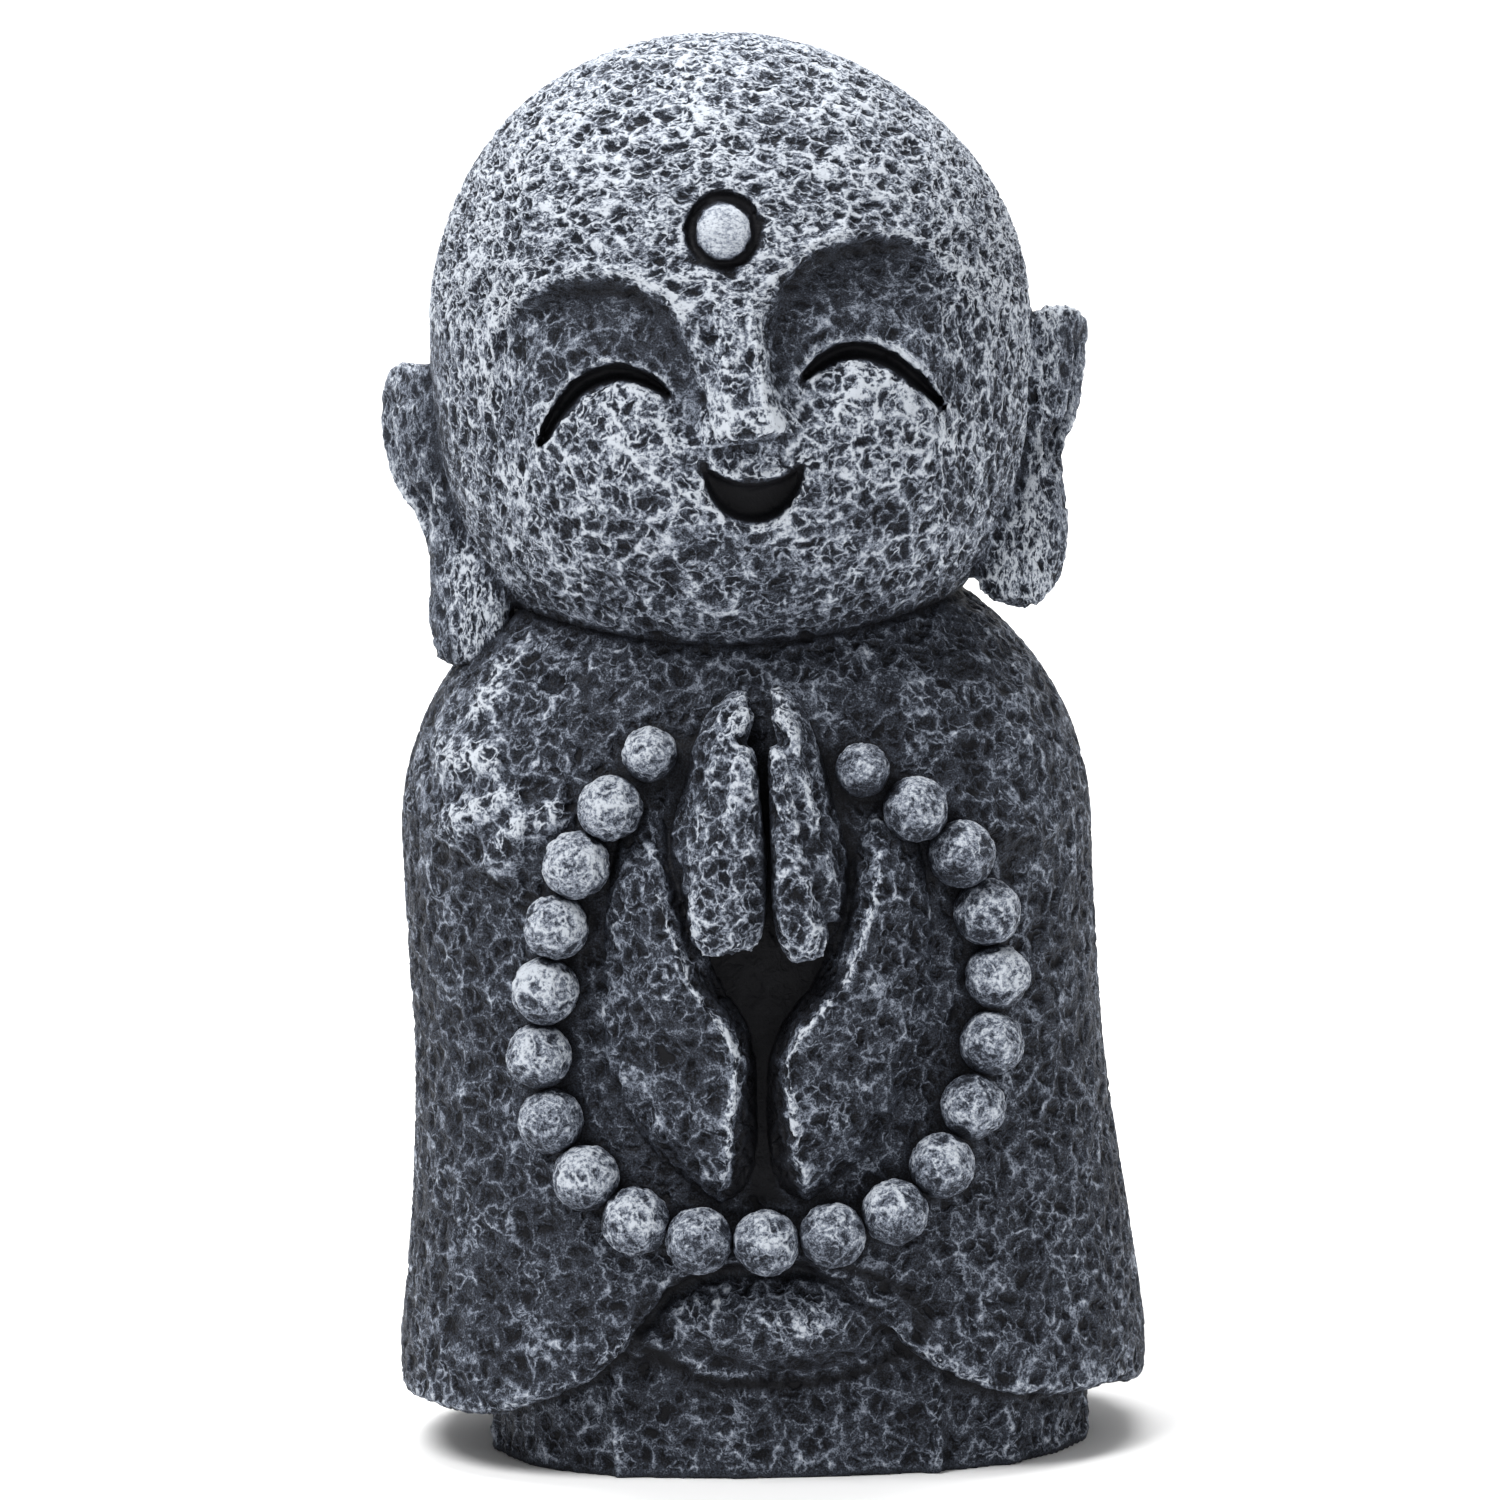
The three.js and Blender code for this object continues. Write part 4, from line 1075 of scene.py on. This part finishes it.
def robe_marks(x, y, z, sizes):
    front = smoothstep(2, 12, -y)
    crest = sum(fold_height(x, z, fold) for fold in FOLDS[:4])
    left = smoothstep(-18, -24, x)
    hem = bell((z - hem_height(x, y, sizes) - 0.6) / 0.6)
    from_edge, _, _, _ = sleeve_place(x, z)
    # Painted shade: the robe in the opening between the sleeves is a little darker, and under the hands it is much
    # darker and less rough.
    opening = smoothstep(0.5, -1, from_edge) * smoothstep(29, 31, z) * smoothstep(75, 70, z) * smoothstep(-18, -21, y)
    under_hands = opening * smoothstep(60, 56, z)
    fall = 0.10 * smoothstep(60, 76, z) * smoothstep(90, 82, z) * left
    a, c = (x - FLAP["x"]) / FLAP["half_width"], (z - FLAP["z"]) / FLAP["half_height"]
    round_flap = np.hypot(a, c)
    # On the flap: a pale line along its lower edge where the brush caught it, a dark ring of painted shade in the
    # crease round it, and a painted highlight on its middle.
    flap = 0.3 * bell((round_flap - 0.9) / 0.09) * smoothstep(0.0, -0.4, c) - 0.4 * bell((round_flap - 1.08) / 0.08)
    flap = (flap + 0.22 * bell(round_flap / 0.5)) * front * smoothstep(27, 24, z)
    paint = (0.34 * np.minimum(crest, 1) + fall) * front + 0.16 * hem - 0.1 * opening - 0.5 * under_hands + flap
    return paint, 1 - 0.5 * under_hands


def sleeve_marks(x, y, z):
    _, from_cuff, _, ends = sleeve_place(x, z)
    front = smoothstep(-24, -26, y)
    on_fingers = smoothstep(-28.5, -31, y) * smoothstep(55, 57, z) * smoothstep(9.5, 8, np.abs(x))
    crest = bell(from_cuff / 0.6) * (ends > 0.2) * (1 - on_fingers) * smoothstep(66, 58, z)
    # Painted shade on the steep inner walls of the sleeves below the hands.
    wall = smoothstep(-0.5, -1.5, from_cuff) * (1 - smoothstep(53, 56, z))
    tips = smoothstep(78, 82, z) * smoothstep(-26, -28, y)
    return 0.10 * crest * front + 0.14 * on_fingers + 0.2 * tips - 0.4 * wall, np.ones(len(x))


def wear(piece, block, near, far):
    """Stores how rough each point of a piece is, and how far the dry brush reaches it, together with painted shade in
    its hollows, creases and undersides.
    """
    scene = bpy.context.scene
    points = np.empty(len(piece.data.vertices) * 3)
    piece.data.vertices.foreach_get("co", points)
    x, y, z = (points.reshape(-1, 3) / MM - TO_ORIGIN).T
    points = np.stack([x, y, z], 1)
    closeness = sampled(block, near, points)
    depth = sampled(block, far, points)
    # Painted shade together with the dry brush's reach: points closely surrounded by the figure, in hollows and in the
    # creases between pieces such as round the beads, and points deep within it are darker; standing points are lighter.
    brushed = COVER[piece.name] + 0.45 * (0.5 - closeness) + 0.3 * (0.5 - depth)
    # Darker in the creases within a piece, partly as painted shade and partly where the dry brush misses, and lighter
    # on ridges where the brush catches.
    if "crease" in piece.data.attributes:
        crease = np.empty(len(x))
        piece.data.attributes["crease"].data.foreach_get("value", crease)
        brushed = brushed + 1.1 * (0.5 - np.clip(crease, 0.3, 0.8))
    hollow = smoothstep(0.60, 0.78, closeness)
    normals = np.empty(len(x) * 3)
    piece.data.vertices.foreach_get("normal", normals)
    upwards = normals.reshape(-1, 3)[:, 2]
    # Painted light and shade: surfaces facing up are a little lighter, and undersides such as under the chin are much
    # darker.
    brushed = brushed + np.where(upwards > 0, 0.10, 0.34) * upwards
    # Painted shade: in deep hollows the paint falls to dark bare stone.
    brushed = mix(brushed, -0.3, hollow)
    rough = (1 - 0.6 * hollow) * smoothstep(0.0, 1.2, z)
    marks = {
        "head": lambda: head_marks(x, y, z, scene.jizo_head),
        "robe": lambda: robe_marks(x, y, z, scene.jizo_robe),
        "sleeves_and_hands": lambda: sleeve_marks(x, y, z),
        # Painted light: beads higher up and further to the left, where the key light falls, are lighter.
        "prayer_beads": lambda: (0.12 * smoothstep(30, 60, z) * smoothstep(10, -10, x), np.full(len(x), 0.55)),
    }
    if piece.name in marks:
        paint, left = marks[piece.name]()
        brushed = brushed + paint
        rough = rough * left
    for name, values in (("brushed", np.clip(brushed, -0.5, 1.2)), ("roughened", np.clip(rough, 0, 1))):
        attribute = piece.data.attributes.new(name, "FLOAT", "POINT")
        attribute.data.foreach_set("value", values.astype(np.float32))
    # The pits are drawn out level over the crown and upright down the head's sides.
    if piece.name == "head":
        off = x - HEAD_X
        x = x + 0.9 * np.sign(off) * np.maximum(np.abs(off) - 21, 0)
        z = z + 0.6 * np.maximum(z - 122, 0)
    attribute = piece.data.attributes.new("cast_place", "FLOAT_VECTOR", "POINT")
    attribute.data.foreach_set("vector", (np.stack([x, y, z], 1) * MM).ravel().astype(np.float32))


# ------------------------------------------------------------------------------------------------------------
# Operators
# ------------------------------------------------------------------------------------------------------------


def sculpt(name, field, block, reach=1):
    """Makes a piece from its field, and stores how deep in a crease each of its points lies."""
    points, faces = surface(field, block)
    piece = mesh_piece(name, points, faces)
    filled = np.clip(0.5 - field / block.pitch, 0, 1).astype(np.float32)
    attribute = piece.data.attributes.new("crease", "FLOAT", "POINT")
    attribute.data.foreach_set("value", sampled(block, softened(filled, reach), points).astype(np.float32))
    return piece


def working_pitch(group):
    return group.pitch / MM * 1.0


class JIZO_OT_head(bpy.types.Operator):
    """Sculpt the head with its smiling face, forehead mark and long ears"""

    bl_idname = "jizo.head"
    bl_label = "Head"

    def execute(self, context):
        sizes = context.scene.jizo_head
        block = Block((-44, -38, 79), (42, 35, 153), working_pitch(sizes))
        sculpt("head", head_field(block, sizes), block)
        return {"FINISHED"}


class JIZO_OT_robe(bpy.types.Operator):
    """Sculpt the robe, the skirt under it and the flap in its parting"""

    bl_idname = "jizo.robe"
    bl_label = "Robe and skirt"

    def execute(self, context):
        sizes = context.scene.jizo_robe
        block = Block((-44, -34, -2), (44, 36, 98), working_pitch(sizes))
        piece = sculpt("robe", dress_field(block, sizes), block)
        for vertex in piece.data.vertices:
            if vertex.co.z < 0.2 * MM:
                vertex.co.z = 0
        return {"FINISHED"}


class JIZO_OT_hands(bpy.types.Operator):
    """Sculpt the hanging sleeves and the praying hands"""

    bl_idname = "jizo.hands"
    bl_label = "Sleeves and hands"

    def execute(self, context):
        sizes = context.scene.jizo_hands
        block = Block((-21, -38, 26), (21, -18, 87), working_pitch(sizes))
        sculpt("sleeves_and_hands", hands_field(block, sizes, context.scene.jizo_robe), block, 2)
        return {"FINISHED"}


class JIZO_OT_beads(bpy.types.Operator):
    """String the prayer beads round the hands"""

    bl_idname = "jizo.beads"
    bl_label = "Prayer beads"

    def execute(self, context):
        beads = context.scene.jizo_beads
        line = (bead_line(beads, context.scene.jizo_robe) + TO_ORIGIN) * MM
        curve = bpy.data.curves.new("bead_line", "CURVE")
        curve.dimensions = "3D"
        spline = curve.splines.new("POLY")
        spline.points.add(len(line) - 1)
        spline.points.foreach_set("co", np.hstack([line, np.ones((len(line), 1))]).ravel())
        holder = bpy.data.objects.new("bead_line", curve)
        context.scene.collection.objects.link(holder)
        modifier = holder.modifiers.new("beads", "NODES")
        modifier.node_group = bead_string()
        set_input(modifier, "Beads", beads.count)
        set_input(modifier, "Radius", beads.radius)
        set_input(modifier, "End radius", beads.end_radius)
        plain_object(holder, "prayer_beads")
        return {"FINISHED"}


class JIZO_OT_finish(bpy.types.Operator):
    """Pit and paint the stone of every piece, and set the pieces on the frame"""

    bl_idname = "jizo.finish"
    bl_label = "Stone finish"

    def execute(self, context):
        scene = context.scene
        stone = scene.jizo_stone
        material = cast_stone(stone)
        tree = pitted("pitted_stone", stone)
        pitch = 0.8
        block, filled = filled_block(scene, pitch)
        near = softened(filled, 1)
        far = softened(filled, 4)
        for name in COVER:
            piece = bpy.data.objects[name]
            wear(piece, block, near, far)
            modifier = piece.modifiers.new("pits", "NODES")
            modifier.node_group = tree
            set_input(modifier, "Pit depth", stone.pit_depth)
            set_input(modifier, "Material", material)
            piece = plain_object(piece, name)
            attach(piece, BODY)
            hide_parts(NODE)
        return {"FINISHED"}


def aimed(position, target, roll=0.0):
    """A matrix at `position` that looks at `target`, turned about its view by roll."""
    back = (Vector(position) - Vector(target)).normalized()
    right = Vector((0, 0, 1)).cross(back).normalized()
    up = back.cross(right)
    turned_right = right * math.cos(roll) - up * math.sin(roll)
    turned_up = right * math.sin(roll) + up * math.cos(roll)
    matrix = Matrix((turned_right, turned_up, back)).transposed().to_4x4()
    matrix.translation = position
    return matrix


def add_light(name, position, target, size, power):
    light = bpy.data.lights.new(name, "AREA")
    light.shape = "DISK"
    light.size = size
    light.energy = power
    lamp = bpy.data.objects.new(name, light)
    lamp.matrix_world = aimed(position, target)
    bpy.context.scene.collection.objects.link(lamp)


class JIZO_OT_stage(bpy.types.Operator):
    """Set the pale floor, the soft lights and the camera"""

    bl_idname = "jizo.stage"
    bl_label = "Stage"

    # The point that the camera looks at, in millimetres from the figure's origin.
    AIM = (-1.14, 1.34, 73.77)

    def execute(self, context):
        scene = context.scene
        stage = scene.jizo_stage
        self.add_floor(stage)
        target = Vector(self.AIM) * MM
        away = Vector((0, -math.cos(stage.elevation), math.sin(stage.elevation))) * stage.distance
        camera_data = bpy.data.cameras.new("camera")
        camera_data.sensor_width = 36.0
        camera_data.lens = stage.focal_length
        camera_data.clip_end = 20.0
        camera = bpy.data.objects.new("camera", camera_data)
        camera.matrix_world = aimed(target + away, target, stage.roll)
        scene.collection.objects.link(camera)
        scene.camera = camera
        add_light("key", (-0.5, -0.45, 1.15), target, 0.6, stage.key)
        add_light("fill", (0.8, -0.8, 0.3), target, 0.8, stage.key * 0.12)
        add_light("backdrop", (0.0, 0.5, 1.6), (0.0, 1.7, 0.1), 1.2, stage.key * 2.6)
        world = bpy.data.worlds.new("studio")
        world.use_nodes = True
        background = world.node_tree.nodes["Background"]
        background.inputs["Color"].default_value = (1.0, 1.0, 1.0, 1.0)
        background.inputs["Strength"].default_value = 0.38
        scene.world = world
        scene.view_settings.view_transform = "Standard"
        return {"FINISHED"}

    def add_floor(self, stage):
        """A floor that curves up into a wall far behind the figure."""
        far, wall, bend = stage.floor, 2.5, 0.8
        profile = [(-far, 0.0), (1.2, 0.0)]
        for i in range(1, 13):
            turn = math.radians(90 * i / 12)
            profile.append((1.2 + bend * math.sin(turn), bend * (1 - math.cos(turn))))
        profile.append((1.2 + bend, wall))
        corners = [(x, y, z) for y, z in profile for x in (-far, far)]
        faces = [(2 * i, 2 * i + 1, 2 * i + 3, 2 * i + 2) for i in range(len(profile) - 1)]
        mesh = bpy.data.meshes.new("floor")
        mesh.from_pydata(corners, [], faces)
        for polygon in mesh.polygons:
            polygon.use_smooth = True
        material = bpy.data.materials.new("pale_paper")
        material.use_nodes = True
        shader = material.node_tree.nodes["Principled BSDF"]
        shader.inputs["Base Color"].default_value = (0.93, 0.93, 0.93, 1.0)
        shader.inputs["Roughness"].default_value = 0.95
        mesh.materials.append(material)
        floor = bpy.data.objects.new("floor", mesh)
        bpy.context.scene.collection.objects.link(floor)


OPERATORS = (JIZO_OT_stage, JIZO_OT_head, JIZO_OT_robe, JIZO_OT_hands, JIZO_OT_beads, JIZO_OT_finish)


class JIZO_PT_panel(bpy.types.Panel):
    """Lists the steps that make the jizo"""

    bl_idname = "JIZO_PT_panel"
    bl_label = "Cast stone jizo"
    bl_space_type = "VIEW_3D"
    bl_region_type = "UI"
    bl_category = "Jizo"

    def draw(self, context):
        for operator in OPERATORS:
            self.layout.operator(operator.bl_idname)


CLASSES = (*SIZES, *OPERATORS, JIZO_PT_panel)


def group_name(group):
    """The scene property that holds a group's values, such as jizo_head for JizoHead."""
    return "jizo_" + group.__name__.removeprefix("Jizo").lower()


def register():
    for made in CLASSES:
        bpy.utils.register_class(made)
    for group in SIZES:
        setattr(bpy.types.Scene, group_name(group), PointerProperty(type=group))


def unregister():
    for group in SIZES:
        delattr(bpy.types.Scene, group_name(group))
    for made in reversed(CLASSES):
        bpy.utils.unregister_class(made)


def main():
    register()
    for operator in OPERATORS:
        section, name = operator.bl_idname.split(".")
        getattr(getattr(bpy.ops, section), name)()


if __name__ == "__main__":
    main()
